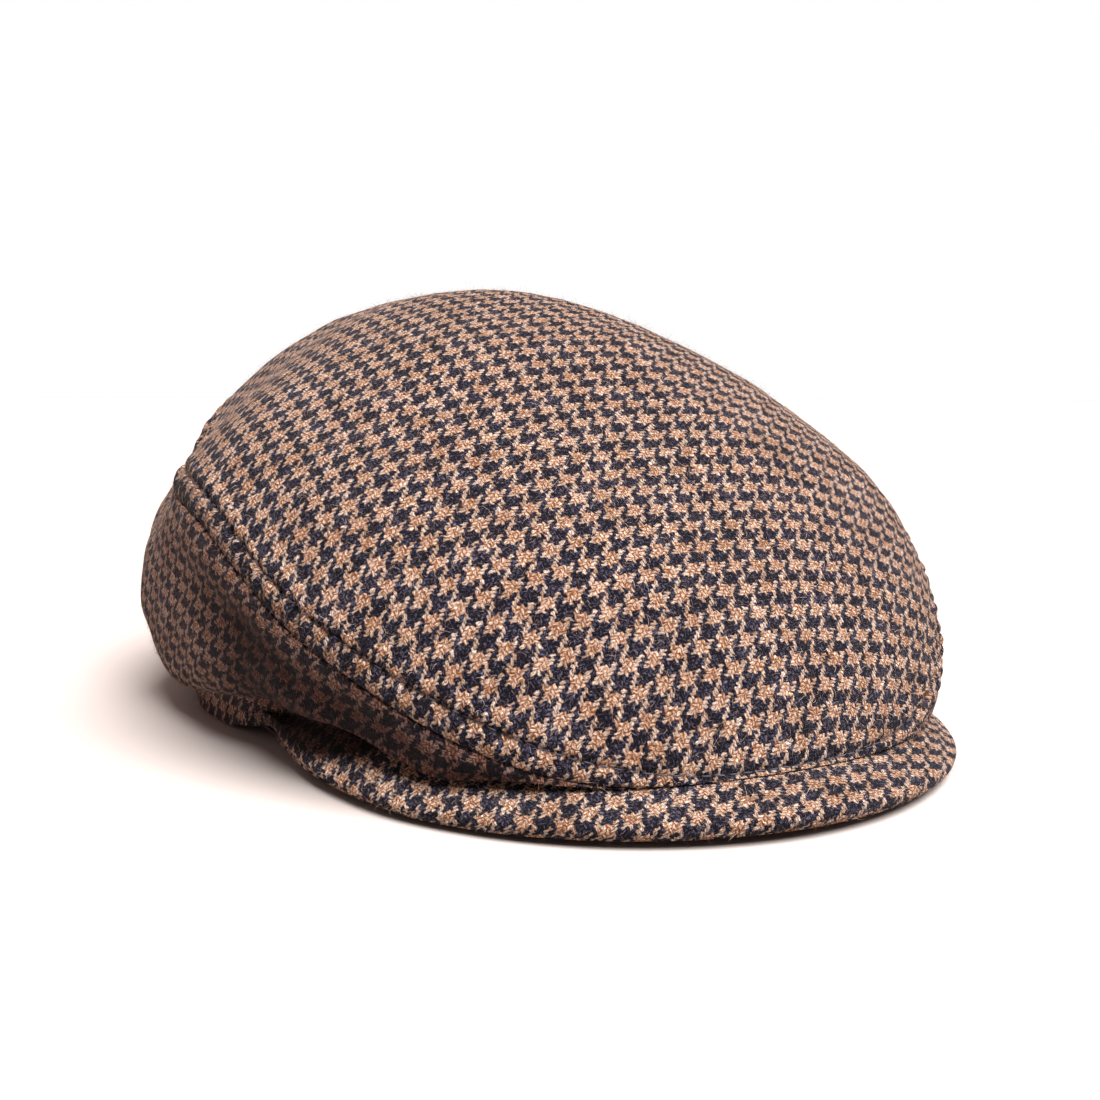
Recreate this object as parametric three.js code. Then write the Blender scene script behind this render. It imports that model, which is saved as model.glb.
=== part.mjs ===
// A flat cap of houndstooth wool: a big top panel, two side panels that meet at the centre back,
// a narrow head band and a short stiff peak.
//
// Millimetres. +Z is up, the front of the cap faces -Y, and +X is the wearer's left.
// The origin is on the surface that the cap rests on, under the middle of its outline.
// Each piece is swept round an upright line through the crown: turn is the angle round that line,
// 0 at the front and 180 at the back, out is the distance from the line, and up is the height.
import * as THREE from 'three';
import { mergeVertices } from 'three/addons/utils/BufferGeometryUtils.js';

// Driving sizes
const bandHalfWidth = 86;
const bandHalfLength = 98.5;
const bandTopUp = 24;
const crownHeight = 116;
const clothThickness = 2;
const peakThickness = 3.6;
const seamGap = 0.3;

// The crown, a row for each section round it. seam is where the top panel meets a side panel, lean
// is the slope of the cloth there, and full says how far up the top panel that slope holds, as a
// share of its reach. wide is the fullest part of the side panel. hem is the height at which the
// panel turns in, and tuck is how far in it runs, as a share of the way to the band.
const crownRows = [
  { turn: 0, seamOut: 152.6, seamUp: 10, lean: 85, full: 0.2, wideOut: 152.7, wideUp: 6.7, hemUp: 4, tuck: 0.04 },
  { turn: 20, seamOut: 147, seamUp: 13.5, lean: 91, full: 0.24, wideOut: 146, wideUp: 7.4, hemUp: 6.8, tuck: 0.1 },
  { turn: 40, seamOut: 131, seamUp: 32.5, lean: 92, full: 0.25, wideOut: 127, wideUp: 18, hemUp: 15, tuck: 0.9 },
  { turn: 60, seamOut: 113.5, seamUp: 58, lean: 78, full: 0.14, wideOut: 108.8, wideUp: 32.5, hemUp: 12, tuck: 1 },
  { turn: 90, seamOut: 87, seamUp: 63, lean: 64, full: 0.2, wideOut: 97.6, wideUp: 33.6, hemUp: 6, tuck: 1 },
  { turn: 120, seamOut: 79.2, seamUp: 75.5, lean: 62, full: 0.36, wideOut: 94.8, wideUp: 40, hemUp: 8, tuck: 1 },
  { turn: 150, seamOut: 79.2, seamUp: 79.2, lean: 55, full: 0.4, wideOut: 96, wideUp: 45, hemUp: 8, tuck: 1 },
  { turn: 180, seamOut: 77, seamUp: 79.5, lean: 48, full: 0.42, wideOut: 98.5, wideUp: 47, hemUp: 8, tuck: 1 },
];

// The radius to which the top panel bends at the crown line, along the cap and across it
const crownBend = { along: 94, across: 61 };

// How round a side panel is above and below its fullest part, as shares of the way to the next place
const sideFullness = { above: 0.5, below: 0.8, under: 0.6 };

// The peak, a row for each section from its middle to where it runs out at the temple. out is its
// free edge, and edgeUp is the height of its underside at that edge.
const peakRows = [
  { turn: 0, out: 166, edgeUp: 3 },
  { turn: 15, out: 159.3, edgeUp: 2.2 },
  { turn: 30, out: 142, edgeUp: 0.2 },
  { turn: 42, out: 122.3, edgeUp: 1.4 },
  { turn: 54, out: 102, edgeUp: 3 },
  { turn: 64, out: 96, edgeUp: 3.2 },
];

// The crown line stands where it puts the origin under the middle of the outline, and the middle
// of the band lies a little in front of it
const crownLineY = (peakRows[0].out - crownRows[crownRows.length - 1].wideOut) / 2;
const bandMiddleY = crownLineY - 13.5;

// The rim lies flat round the back and sides, and climbs in front of the ears to the peak
const rimClimb = { from: 76, to: 42, height: 11 };

// The peak is flat by the band and bends down to its edge from this share of its reach, and its
// free edge is rounded by this much
const peakBend = 0.7;
const peakEdgeRound = 1.2;

// The top panel's edge is folded under and stitched down, which raises a welt beside the seam.
// Rows of points run along it at these shares of its width from the seam.
const weltWidth = 6.5;
const weltHeight = 0.7;
const weltRows = [1.3, 1, 0.5, 0];

// Where the side panels taper out at the front, how thin they are there, and where they are full
const panelFront = { turn: 18, thickness: 1, fullTurn: 45 };

// Soft folds across each side panel, where the cloth sags over the band
const folds = [
  { turn: 104, up: 26, spread: 16, width: 5, height: 1.4 },
  { turn: 150, up: 24, spread: 22, width: 6, height: 1.1 },
];

// How finely each piece is divided
const crownStep = 5;
const topSteps = 9;
const sideSteps = 10;
const peakSteps = 8;

// Colours seen in the cloth, from its tan and navy threads
const cloth = { color: 0x6d5a52, roughness: 0.95, metalness: 0 };
const bandCloth = { color: 0x5d4c46, roughness: 0.95, metalness: 0 };

// Every column of a table at one turn, on a smooth curve through its rows. The tables hold half
// of the cap, and the other half mirrors them.
function rowAt(rows, turn) {
  const angle = Math.abs(THREE.MathUtils.euclideanModulo(turn + 180, 360) - 180);
  const last = rows.length - 1;
  const at = (index) => {
    if (index < 0) return { ...rows[1], turn: -rows[1].turn };
    if (index > last) return { ...rows[last - 1], turn: 2 * rows[last].turn - rows[last - 1].turn };
    return rows[index];
  };
  let start = 0;
  while (start < last - 1 && rows[start + 1].turn < angle) start += 1;
  const [before, from, to, after] = [start - 1, start, start + 1, start + 2].map(at);
  const span = to.turn - from.turn;
  const share = THREE.MathUtils.clamp((angle - from.turn) / span, 0, 1);
  const row = {};
  for (const name of Object.keys(from)) {
    const leave = (to[name] - before[name]) / (to.turn - before.turn) * span;
    const arrive = (after[name] - from[name]) / (after.turn - from.turn) * span;
    row[name] = hermite(from[name], leave, to[name], arrive, share);
  }
  return row;
}

function hermite(from, leave, to, arrive, share) {
  const square = share * share;
  const cube = square * share;
  return (2 * cube - 3 * square + 1) * from + (cube - 2 * square + share) * leave
    + (3 * square - 2 * cube) * to + (cube - square) * arrive;
}

// The place in space of a point on the section at one turn
function place(turn, point) {
  const angle = THREE.MathUtils.degToRad(turn);
  return new THREE.Vector3(point.x * Math.sin(angle), crownLineY - point.x * Math.cos(angle), point.y);
}

// How far out the band's outside lies at one turn: where a ray from the crown line meets its oval
function bandOut(turn) {
  const angle = THREE.MathUtils.degToRad(turn);
  const side = Math.sin(angle) / bandHalfWidth;
  const along = -Math.cos(angle) / bandHalfLength;
  const shift = (crownLineY - bandMiddleY) / bandHalfLength;
  const a = side * side + along * along;
  const b = along * shift;
  const c = shift * shift - 1;
  return (-b + Math.sqrt(b * b - a * c)) / a;
}

// The height of the band's lower edge at one turn
function rimUp(turn) {
  return rimClimb.height * (1 - THREE.MathUtils.smoothstep(Math.abs(turn), rimClimb.to, rimClimb.from));
}

// The section of the peak's top face at one turn, from the band to the free edge
function peakTop(turn) {
  const row = rowAt(peakRows, turn);
  const root = new THREE.Vector2(bandOut(turn) + seamGap, rimUp(turn) + peakThickness);
  const edge = new THREE.Vector2(Math.max(row.out, root.x + peakThickness), row.edgeUp + peakThickness);
  const bend = new THREE.Vector2(THREE.MathUtils.lerp(root.x, edge.x, peakBend), root.y);
  return new THREE.QuadraticBezierCurve(root, bend, edge);
}

const peakEnd = peakRows[peakRows.length - 1].turn;

// The lowest height that the crown may have at one place: just clear of the peak and the floor
function restingUp(turn, out) {
  if (Math.abs(turn) > peakEnd) return seamGap;
  const top = peakTop(turn);
  const gone = THREE.MathUtils.clamp((out - top.v0.x) / (top.v2.x - top.v0.x), 0, 1);
  const early = 2 * peakBend - 1;
  const share = (peakBend - Math.sqrt(peakBend ** 2 - early * gone)) / early;
  return top.getPoint(share).y + seamGap;
}

// The section of the top panel's outside, from the crown line to the seam. A Bezier curve's bend at
// its start is two thirds of its drop over the square of its first handle.
function topCurve(turn) {
  const row = rowAt(crownRows, turn);
  const angle = THREE.MathUtils.degToRad(turn);
  const lean = THREE.MathUtils.degToRad(row.lean);
  const handle = row.seamOut * row.full;
  const crown = new THREE.Vector2(0, crownHeight);
  const seam = new THREE.Vector2(row.seamOut, row.seamUp);
  const above = new THREE.Vector2(seam.x - handle * Math.cos(lean), seam.y + handle * Math.sin(lean));
  const bend = Math.cos(angle) ** 2 / crownBend.along + Math.sin(angle) ** 2 / crownBend.across;
  const level = Math.sqrt((crown.y - above.y) / (1.5 * bend));
  return new THREE.CubicBezierCurve(crown, new THREE.Vector2(level, crown.y), above, seam);
}

// Places along a curve, evenly spaced from one share of its length to another, with the outward
// direction at each
function samples(curve, from, to, steps) {
  return turns(from, to, (to - from) / steps).map((share) => sample(curve, Math.min(share, 1)));
}

function sample(curve, share) {
  const along = curve.getTangentAt(share);
  return { point: curve.getPointAt(share), outward: new THREE.Vector2(-along.y, along.x) };
}

// The section of a side panel's outside, from the seam over its fullest part and in to the band
function sideSection(turn) {
  const row = rowAt(crownRows, turn);
  const lean = THREE.MathUtils.degToRad(row.lean);
  const seam = new THREE.Vector2(row.seamOut, row.seamUp);
  const wide = new THREE.Vector2(row.wideOut, row.wideUp);
  const tuck = THREE.MathUtils.clamp(row.tuck, 0, 1);
  const hem = new THREE.Vector2(THREE.MathUtils.lerp(row.wideOut, bandOut(turn) + seamGap, tuck), row.hemUp);
  const handle = sideFullness.above * seam.distanceTo(wide);
  const first = seamGap / 2 / seam.distanceTo(wide);
  const upper = new THREE.CubicBezierCurve(
    seam,
    new THREE.Vector2(seam.x + handle * Math.cos(lean), seam.y - handle * Math.sin(lean)),
    new THREE.Vector2(wide.x, wide.y + handle),
    wide,
  );
  const lower = new THREE.CubicBezierCurve(
    wide,
    new THREE.Vector2(wide.x, THREE.MathUtils.lerp(wide.y, hem.y, sideFullness.below)),
    new THREE.Vector2(THREE.MathUtils.lerp(hem.x, wide.x, sideFullness.under), hem.y),
    hem,
  );
  return [...samples(upper, first, 1, sideSteps / 2), ...samples(lower, 0, 1, sideSteps / 2).slice(1)];
}

// How far a fold lifts the side panel at one turn and height
function foldLift(turn, up) {
  let lift = 0;
  for (const fold of folds) {
    const along = (Math.abs(turn) - fold.turn) / fold.spread;
    const across = (up - fold.up) / fold.width;
    lift += fold.height * Math.exp(-along * along - across * across);
  }
  return lift;
}

// A closed wall of cloth on one section: along its outside, then along its inside back again.
// Cloth that would sink into the peak or the floor lies flattened on it instead.
function wallLoop(turn, section, thickness) {
  const outside = [];
  const inside = [];
  for (const { point, outward, lift } of section) {
    const face = point.clone().addScaledVector(outward, lift);
    const back = point.clone().addScaledVector(outward, -thickness);
    const lowest = restingUp(turn, face.x);
    const raise = Math.max(lowest - face.y, 0);
    face.y += raise;
    back.x = Math.max(back.x, 0);
    back.y = Math.max(back.y + raise, restingUp(turn, back.x));
    outside.push(face);
    inside.unshift(back);
  }
  return { turn, points: [...outside, ...inside] };
}

// A solid swept through closed loops of points, one loop for each section. Loops run outside
// first, and a solid that doesn't close on itself gets a flat end at its first and last section.
function sweep(loops, closes) {
  const corners = [];
  const touching = 1e-6;
  const places = loops.map((loop) => loop.points.map((point) => place(loop.turn, point)));
  const triangle = (a, b, c) => {
    const flat = a.distanceTo(b) < touching || b.distanceTo(c) < touching || c.distanceTo(a) < touching;
    if (!flat) corners.push(a, b, c);
  };
  const strips = closes ? loops.length : loops.length - 1;
  for (let index = 0; index < strips; index += 1) {
    const here = places[index];
    const next = places[(index + 1) % loops.length];
    for (let k = 0; k < here.length; k += 1) {
      const after = (k + 1) % here.length;
      triangle(here[k], here[after], next[after]);
      triangle(here[k], next[after], next[k]);
    }
  }
  if (!closes) {
    addEnd(places[0].toReversed(), triangle);
    addEnd(places[places.length - 1], triangle);
  }
  const geometry = new THREE.BufferGeometry().setFromPoints(corners);
  return mergeVertices(geometry);
}

// A flat end across a loop, laced between its outside and its inside
function addEnd(loop, triangle) {
  for (let near = 0, far = loop.length - 1; near < far - 1; near += 1, far -= 1) {
    triangle(loop[near], loop[near + 1], loop[far]);
    triangle(loop[near + 1], loop[far - 1], loop[far]);
  }
}

function piece(name, loops, closes, look) {
  const mesh = new THREE.Mesh(sweep(loops, closes), new THREE.MeshStandardMaterial(look));
  mesh.name = name;
  return mesh;
}

// Turns from one angle to another in even steps, both ends included
function turns(from, to, step) {
  const count = Math.max(1, Math.round(Math.abs(to - from) / step));
  return Array.from({ length: count + 1 }, (_, index) => from + (to - from) * index / count);
}

// The top panel: rows close together over the welt, then evenly spaced up to the crown line
function crownTop() {
  const loops = turns(-180, 180 - crownStep, crownStep).map((turn) => {
    const curve = topCurve(turn);
    const length = curve.getLength();
    const weltShares = weltRows.map((width) => 1 - (weltWidth * width + seamGap / 2) / length);
    const shares = [...turns(0, weltShares[0], weltShares[0] / topSteps), ...weltShares.slice(1)];
    const section = shares.map((share) => {
      const fromSeam = (1 - share) * length / weltWidth;
      const lift = fromSeam < 1 ? weltHeight * Math.sin(Math.PI * fromSeam) : 0;
      return { ...sample(curve, share), lift };
    });
    return wallLoop(turn, section, clothThickness);
  });
  return piece('crown_top', loops, true, cloth);
}

// A side panel, from where it tapers out at the front to the centre back
function sidePanel(name, side) {
  const back = crownRows[crownRows.length - 1];
  const backTurn = back.turn - THREE.MathUtils.radToDeg(seamGap / 2 / back.seamOut);
  const ends = side < 0 ? [-backTurn, -panelFront.turn] : [panelFront.turn, backTurn];
  const loops = turns(...ends, crownStep).map((turn) => {
    const places = sideSection(turn);
    const fade = THREE.MathUtils.smoothstep(Math.abs(turn), panelFront.turn, panelFront.fullTurn);
    const thickness = THREE.MathUtils.lerp(panelFront.thickness, clothThickness, fade);
    const section = places.map((spot, index) => {
      const free = Math.sin(Math.PI * index / sideSteps);
      return { ...spot, lift: free * foldLift(turn, spot.point.y) };
    });
    return wallLoop(turn, section, thickness);
  });
  return piece(name, loops, false, cloth);
}

// The head band stands up from the rim, and its top lies inside the side panels
function headBand() {
  const loops = turns(-180, 180 - crownStep, crownStep).map((turn) => {
    const out = bandOut(turn);
    const rim = rimUp(turn);
    const points = [
      new THREE.Vector2(out, bandTopUp),
      new THREE.Vector2(out, (rim + bandTopUp) / 2),
      new THREE.Vector2(out, rim),
      new THREE.Vector2(out - clothThickness, rim),
      new THREE.Vector2(out - clothThickness, (rim + bandTopUp) / 2),
      new THREE.Vector2(out - clothThickness, bandTopUp),
    ];
    return { turn, points };
  });
  return piece('head_band', loops, true, bandCloth);
}

// The peak: a stiff board under cloth, with a rounded free edge
function peak() {
  const loops = turns(-peakEnd, peakEnd, crownStep).map((turn) => {
    const top = peakTop(turn);
    const upper = top.getSpacedPoints(peakSteps);
    const lower = upper.map((point) => new THREE.Vector2(point.x, point.y - peakThickness)).reverse();
    upper[peakSteps].x -= peakEdgeRound;
    lower[0].x -= peakEdgeRound;
    const last = upper[peakSteps];
    const nose = new THREE.Vector2(last.x + peakEdgeRound, last.y - peakThickness / 2);
    return { turn, points: [...upper, nose, ...lower] };
  });
  return piece('peak', loops, false, cloth);
}

const cap = new THREE.Group();
cap.add(crownTop());
cap.add(sidePanel('side_panel_right', -1));
cap.add(sidePanel('side_panel_left', 1));
cap.add(headBand());
cap.add(peak());

export default cap;
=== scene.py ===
"""A flat cap of houndstooth wool, dressed over the part's solids, and the studio that shows it.

Metres. +Z is up, the front of the cap faces -Y, and +X is the wearer's left. Each piece is swept
round an upright line through the crown: turn is the angle round that line in degrees, 0 at the
front and 180 at the back, out is the distance from the line, and up is the height.
"""
import math
from collections import namedtuple

import bmesh
import bpy
import numpy as np
from mathutils import Matrix, Vector


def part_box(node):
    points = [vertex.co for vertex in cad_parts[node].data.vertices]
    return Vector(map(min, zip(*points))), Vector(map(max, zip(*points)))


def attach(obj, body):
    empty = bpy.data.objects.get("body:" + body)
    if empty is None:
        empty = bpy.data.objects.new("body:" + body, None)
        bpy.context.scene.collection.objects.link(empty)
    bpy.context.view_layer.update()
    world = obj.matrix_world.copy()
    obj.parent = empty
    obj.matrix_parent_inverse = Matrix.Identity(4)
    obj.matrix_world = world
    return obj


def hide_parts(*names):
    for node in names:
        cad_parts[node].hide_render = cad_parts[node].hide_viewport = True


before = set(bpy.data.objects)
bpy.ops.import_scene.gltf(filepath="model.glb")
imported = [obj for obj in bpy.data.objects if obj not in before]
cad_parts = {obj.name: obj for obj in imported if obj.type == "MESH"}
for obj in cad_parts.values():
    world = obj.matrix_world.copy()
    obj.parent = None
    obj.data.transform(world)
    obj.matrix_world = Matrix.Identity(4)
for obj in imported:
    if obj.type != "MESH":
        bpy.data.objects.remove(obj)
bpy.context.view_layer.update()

bl_info = {
    "name": "Flat cap",
    "version": (1, 0, 0),
    "blender": (4, 5, 0),
    "location": "3D View > Sidebar > Flat cap",
    "description": "Makes a houndstooth flat cap over its packed solids, and a studio for it",
    "category": "Object",
}

CLOTH_MAP = "cloth"
# Name of the point attribute that holds the painted shade: how much darker each point is painted, or
# how much paler, as painted light, where it is below 0
PAINTED_SHADE_ATTRIBUTE = "grime"
BODY = "root"

# Driving sizes, from the part's solids
band_low, band_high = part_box("head_band")
BAND_HALF_WIDTH = (band_high[0] - band_low[0]) / 2
BAND_HALF_LENGTH = (band_high[1] - band_low[1]) / 2
BAND_MIDDLE_Y = (band_high[1] + band_low[1]) / 2
BAND_TOP_UP = band_high[2]
CROWN_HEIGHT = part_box("crown_top")[1][2]
CROWN_LINE_Y = BAND_MIDDLE_Y + 0.0135
CLOTH_THICKNESS = 0.002
PEAK_THICKNESS = 0.0036
SEAM_GAP = 0.0003

# The crown, a row for each section round it. seam is where the top panel meets a side panel, lean
# is the slope of the cloth there, and full says how far up the top panel that slope holds, as a
# share of its reach. wide is the fullest part of the side panel. hem is the height at which the
# panel turns in, and tuck is how far in it runs, as a share of the way to the band.
CrownRow = namedtuple("CrownRow", "turn seam_out seam_up lean full wide_out wide_up hem_up tuck")
CROWN_ROWS = [
    CrownRow(0, 0.1526, 0.008, 85, 0.2, 0.1527, 0.0052, 0.003, 0.04),
    CrownRow(20, 0.147, 0.0118, 91, 0.24, 0.146, 0.0066, 0.0062, 0.1),
    CrownRow(40, 0.131, 0.0325, 92, 0.25, 0.127, 0.018, 0.015, 0.9),
    CrownRow(60, 0.1135, 0.058, 78, 0.14, 0.1088, 0.0325, 0.012, 1),
    CrownRow(90, 0.087, 0.063, 64, 0.2, 0.0976, 0.0336, 0.006, 1),
    CrownRow(120, 0.0792, 0.0755, 62, 0.36, 0.0948, 0.04, 0.008, 1),
    CrownRow(150, 0.0792, 0.0792, 55, 0.4, 0.096, 0.045, 0.008, 1),
    CrownRow(180, 0.077, 0.0795, 48, 0.42, 0.0985, 0.047, 0.008, 1),
]

# The radius to which the top panel bends at the crown line, along the cap and across it
CROWN_BEND_ALONG = 0.094
CROWN_BEND_ACROSS = 0.061

# A Bezier curve starts to bend at a radius of this times the square of its first handle's length,
# over how far its second handle drops
START_BEND = 1.5

# How round a side panel is above and below its fullest part, as shares of the way to the next place
ROUND_ABOVE = 0.5
ROUND_BELOW = 0.8
ROUND_UNDER = 0.6

# The peak, a row for each section from its middle to where it runs out at the temple. out is its
# free edge, and edge_up is the height of its underside at that edge.
PeakRow = namedtuple("PeakRow", "turn out edge_up")
PEAK_ROWS = [
    PeakRow(0, 0.166, 0.0017),
    PeakRow(15, 0.1593, 0.001),
    PeakRow(30, 0.142, 0.0002),
    PeakRow(42, 0.1223, 0.0014),
    PeakRow(54, 0.102, 0.003),
    PeakRow(64, 0.096, 0.0032),
]
PEAK_END = PEAK_ROWS[-1].turn
PEAK_BEND = 0.56

# The corner where the peak runs out at the temple, and how much of its reach it loses there
PEAK_CORNER = 51
PEAK_CORNER_END = PEAK_END - 2
PEAK_TAPER = 0.85

# How square the peak's edge is: 1 is round, and less is squarer. The seam in it is a small dip,
# this far round it as an angle in radians.
EDGE_SQUARENESS = 0.5
EDGE_SEAM_DEPTH = 0.00035
EDGE_SEAM_AT = 2.2
EDGE_SEAM_WIDTH = 0.16

# How far the cloth of the peak's top sags at the band beside the temple, under the overhang
PEAK_SAG = 0.0032
PEAK_SAG_FROM = 38
PEAK_SAG_FULL = 54
PEAK_SAG_ENDS = 60

# The rim lies flat round the back and sides, and climbs in front of the ears to the peak
RIM_CLIMB_FROM = 76
RIM_CLIMB_TO = 42
RIM_CLIMB_HEIGHT = 0.011

# Where the side panels taper out at the front, how thin they are there, and where they are full
PANEL_FRONT_TURN = 12
PANEL_FRONT_THICKNESS = 0.001
PANEL_FULL_TURN = 45
PANEL_FRONT_HEIGHT = 0.02

# The welt narrows and its stitched groove fades between these turns, to this share at the front
WELT_FRONT_TURN = 6
WELT_FULL_TURN = 28
WELT_FRONT_SHARE = 0.42

# The groove that the stitches pull beside the welt, and the ridge that stands up beyond it
GROOVE_DEPTH = 0.0011
GROOVE_WIDTH = 0.0006
RIDGE_HEIGHT = 0.0005
RIDGE_AWAY = 0.0024
RIDGE_WIDTH = 0.0018

# The puckers: how many there may be round the seam, where across the welt they are deepest, how
# far they slant along the seam, and how near the seam they start
PUCKERS_FEWEST = 90
PUCKERS_MOST = 170
PUCKER_MIDDLE = 0.0055
PUCKER_REACH = 0.0042
PUCKER_SLANT = 0.5
PUCKER_STARTS = 0.0015

# How a panel's edge rolls in: over what width, and how deep
Roll = namedtuple("Roll", "width depth")
TOP_EDGE = Roll(0.0011, 0.001)
SIDE_EDGE = Roll(0.0013, 0.0008)
BACK_EDGE = Roll(0.0022, 0.0012)

# Soft unevenness of each piece: how high its waves are, and how far from crest to crest
Waves = namedtuple("Waves", "height length")
TOP_BROAD = Waves(0.0006, 0.055)
TOP_FINE = Waves(0.00015, 0.014)
SIDE_BROAD = Waves(0.0007, 0.034)
SIDE_FINE = Waves(0.0002, 0.012)
BAND_WAVES = Waves(0.0003, 0.02)
PEAK_WAVES = Waves(0.00018, 0.03)

# Soft folds across each side panel, where the cloth sags over the band
Fold = namedtuple("Fold", "turn up spread width height")
FOLDS = [
    Fold(104, 0.026, 16, 0.005, 0.0014),
    Fold(150, 0.024, 22, 0.006, 0.0011),
]

# Painted shade: how much darker the cloth is painted in the hollow under the overhang, in the stitched
# crease, and beside the seam at the sides
HOLLOW_PAINTED_SHADE = 0.85
CREASE_PAINTED_SHADE = 0.75
CREASE_PAINTED_SHADE_WIDTH = 0.0005
SEAM_PAINTED_SHADE = 0.5

# The turns between which the painted shade of the hollow begins, and those between which it ends. Just
# under the seam of a side panel its painted shade starts at this share, which fades out further round.
HOLLOW_STARTS = (10, 24)
HOLLOW_ENDS = (50, 70)
UNDER_SEAM_SHADE = 0.7
UNDER_SEAM_ENDS = (32, 54)

# The turns between which the top panel comes to face the side, where painted shade lies beside its seam
SEAM_PAINTED_SHADE_STARTS = (22, 48)

# The painted shade of the hollow on the peak: the turns between which it spreads from the band towards
# the edge, how far across it reaches, how softly it stops, and where it covers the whole of the peak's
# end
PEAK_SHADE_SPREADS = (22, 46)
PEAK_SHADE_LEAST = 0.2
PEAK_SHADE_MORE = 0.66
PEAK_SHADE_SOFTNESS = 0.16
PEAK_END_SHADE = (46, 55)

# How much of the red is kept where painted shade darkens the cloth, which leaves the painted shade
# brown
PAINTED_SHADE_WARMTH = 0.07

# How much paler the edge of the peak is painted beside the temple, a painted highlight where its crest
# catches the light, and the turns where that starts
PEAK_PAINTED_HIGHLIGHT = 0.7
PEAK_PAINTED_HIGHLIGHT_STARTS = (26, 42)

# How finely the pieces are divided: columns go round the cap and rows go down a section. The rows
# of the top panel lie closest beside its seam, at this step and over this reach.
CURVE_POINTS = 161
TOP_COLUMNS = 720
TOP_OPEN_ROWS = 48
TOP_WELT_STEP = 0.0004
TOP_WELT_REACH = 0.0144
INSIDE_ROWS = 12
SIDE_COLUMNS = 400
SIDE_ROWS = 64
BAND_COLUMNS = 360
BAND_ROWS = 14
BAND_FOLD_POINTS = 9
PEAK_COLUMNS = 300
PEAK_ROWS_DOWN = 56
PEAK_EDGE_POINTS = 15
STITCH_RINGS = 7
STITCH_SIDES = 6

# How finely a surface is divided to be laid flat, in degrees between columns for the top panel and
# in columns for the others, how many rounds that takes, and the least pull that a side may have
FLAT_STEP = 5
FLAT_COLUMNS = 33
FLAT_ROWS = 20
FLAT_ROUNDS = 90
LEAST_PULL = 0.01

# How much of its pitch a stitch takes up, from where it leaves the cloth to where it goes back in,
# and the distance over which its direction is taken
STITCH_SPAN = (0.1, 0.86)
STITCH_LOOK_AHEAD = 0.0004

# Loose fibres. Each one starts this deep under the face, and takes its colour from this near on the
# cloth. It rises at a chance angle, each part of it droops by a usual angle with a spread, in
# degrees, and it swings sideways, in radians. Its length varies, and it keeps clear of the floor.
FIBRE_PARTS = 3
FIBRE_ROOT_DEPTH = 0.0001
FIBRE_STRAY = 0.0003
FIBRE_RISE = (12, 60)
FIBRE_DROOP = (18, 16)
FIBRE_SWING = 0.45
FIBRE_LENGTH_SPREAD = 0.4
FIBRE_CLEARANCE = 0.0001

# The weave: four tan threads and then four navy, each over two and under two
THREADS_PER_CHECK = 8.0
THREADS_PER_TWILL = 4.0

# How the threads wander off their straight lines: how many waves to a thread, how fine they are,
# and how far they reach, in threads
Wander = namedtuple("Wander", "often detail far")
SWAY = Wander(0.16, 1.0, 1.3)
JITTER = Wander(0.7, 3.0, 2.0)

# How strongly each kind of unevenness makes the yarn paler: along the run of its fibres, most on the
# top of the yarn as a painted highlight, from one yarn to the next, in small flecks and in broad
# patches
PALER_RUN = 3.0
PALER_YARN = 0.4
PALER_FLECK = 1.4
PALER_PATCH = 0.8

# How each piece's cloth is tinted, darker and warmer on the side panels as painted shade and paler on
# the band as painted light, and how far its raised nap hides the check
SIDE_PAINTED_SHADE_TINT = (0.95, 0.89, 0.91)
SIDE_HAZE = 0.05
BAND_PAINTED_LIGHT_TINT = (1.35, 1.27, 1.3)
BAND_HAZE = 0.1

# Colours of the raised nap, of the floor, and of the studio's light and backdrop
NAP_COLOUR = (0.155, 0.098, 0.084, 1.0)
FLOOR_COLOUR = (0.41, 0.36, 0.34, 1.0)
FILL_COLOUR = (1.0, 0.77, 0.71, 1.0)
WHITE = (1.0, 1.0, 1.0, 1.0)


def length_setting(name, description, default, least=0.0):
    return bpy.props.FloatProperty(name=name, description=description, default=default,
                                   min=least, unit="LENGTH", precision=5)


def colour_setting(name, description, default):
    return bpy.props.FloatVectorProperty(name=name, description=description, default=default,
                                         min=0, max=1, subtype="COLOR", size=3)


class WoolSettings(bpy.types.PropertyGroup):
    """The cloth: its check, its colours and the relief of its yarns"""

    check_repeat: length_setting(
        "Check repeat", "Width of one whole check, four tan and four navy threads", 0.00577, 0.001)
    tan: colour_setting("Tan", "Colour of the tan yarn", (0.275, 0.146, 0.081))
    tan_light: colour_setting(
        "Light tan", "Colour of the palest fibres of the tan yarn", (0.65, 0.52, 0.43))
    navy: colour_setting("Navy", "Colour of the navy yarn", (0.0058, 0.0047, 0.0115))
    navy_light: colour_setting(
        "Light navy", "Colour of the palest fibres of the navy yarn", (0.092, 0.088, 0.14))
    yarn_relief: length_setting(
        "Yarn relief", "How far the yarns stand above the gaps between them", 0.0003)


class SeamSettings(bpy.types.PropertyGroup):
    """The seams and their stitching"""

    welt_width: length_setting(
        "Welt width", "From the seam to the row of stitches above it", 0.0065, 0.001)
    welt_height: length_setting(
        "Welt height", "How far the folded edge lifts the cloth beside the seam", 0.0008)
    pucker_height: length_setting(
        "Pucker height", "How far the stitches gather the cloth into puckers", 0.00048)
    stitch_pitch: length_setting(
        "Stitch pitch", "From the start of one stitch to the start of the next", 0.0031, 0.001)
    stitch_width: length_setting("Stitch width", "Thickness of the sewing thread", 0.00034)


class FibreSettings(bpy.types.PropertyGroup):
    """Loose wool fibres on the face of the cloth"""

    per_area: bpy.props.FloatProperty(
        name="Fibres per square centimetre", description="How thickly the fibres stand",
        default=58, min=0)
    length: length_setting("Fibre length", "Usual length of a loose fibre", 0.0017)
    width: length_setting("Fibre width", "Width of a fibre at its root", 0.000042)


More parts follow.
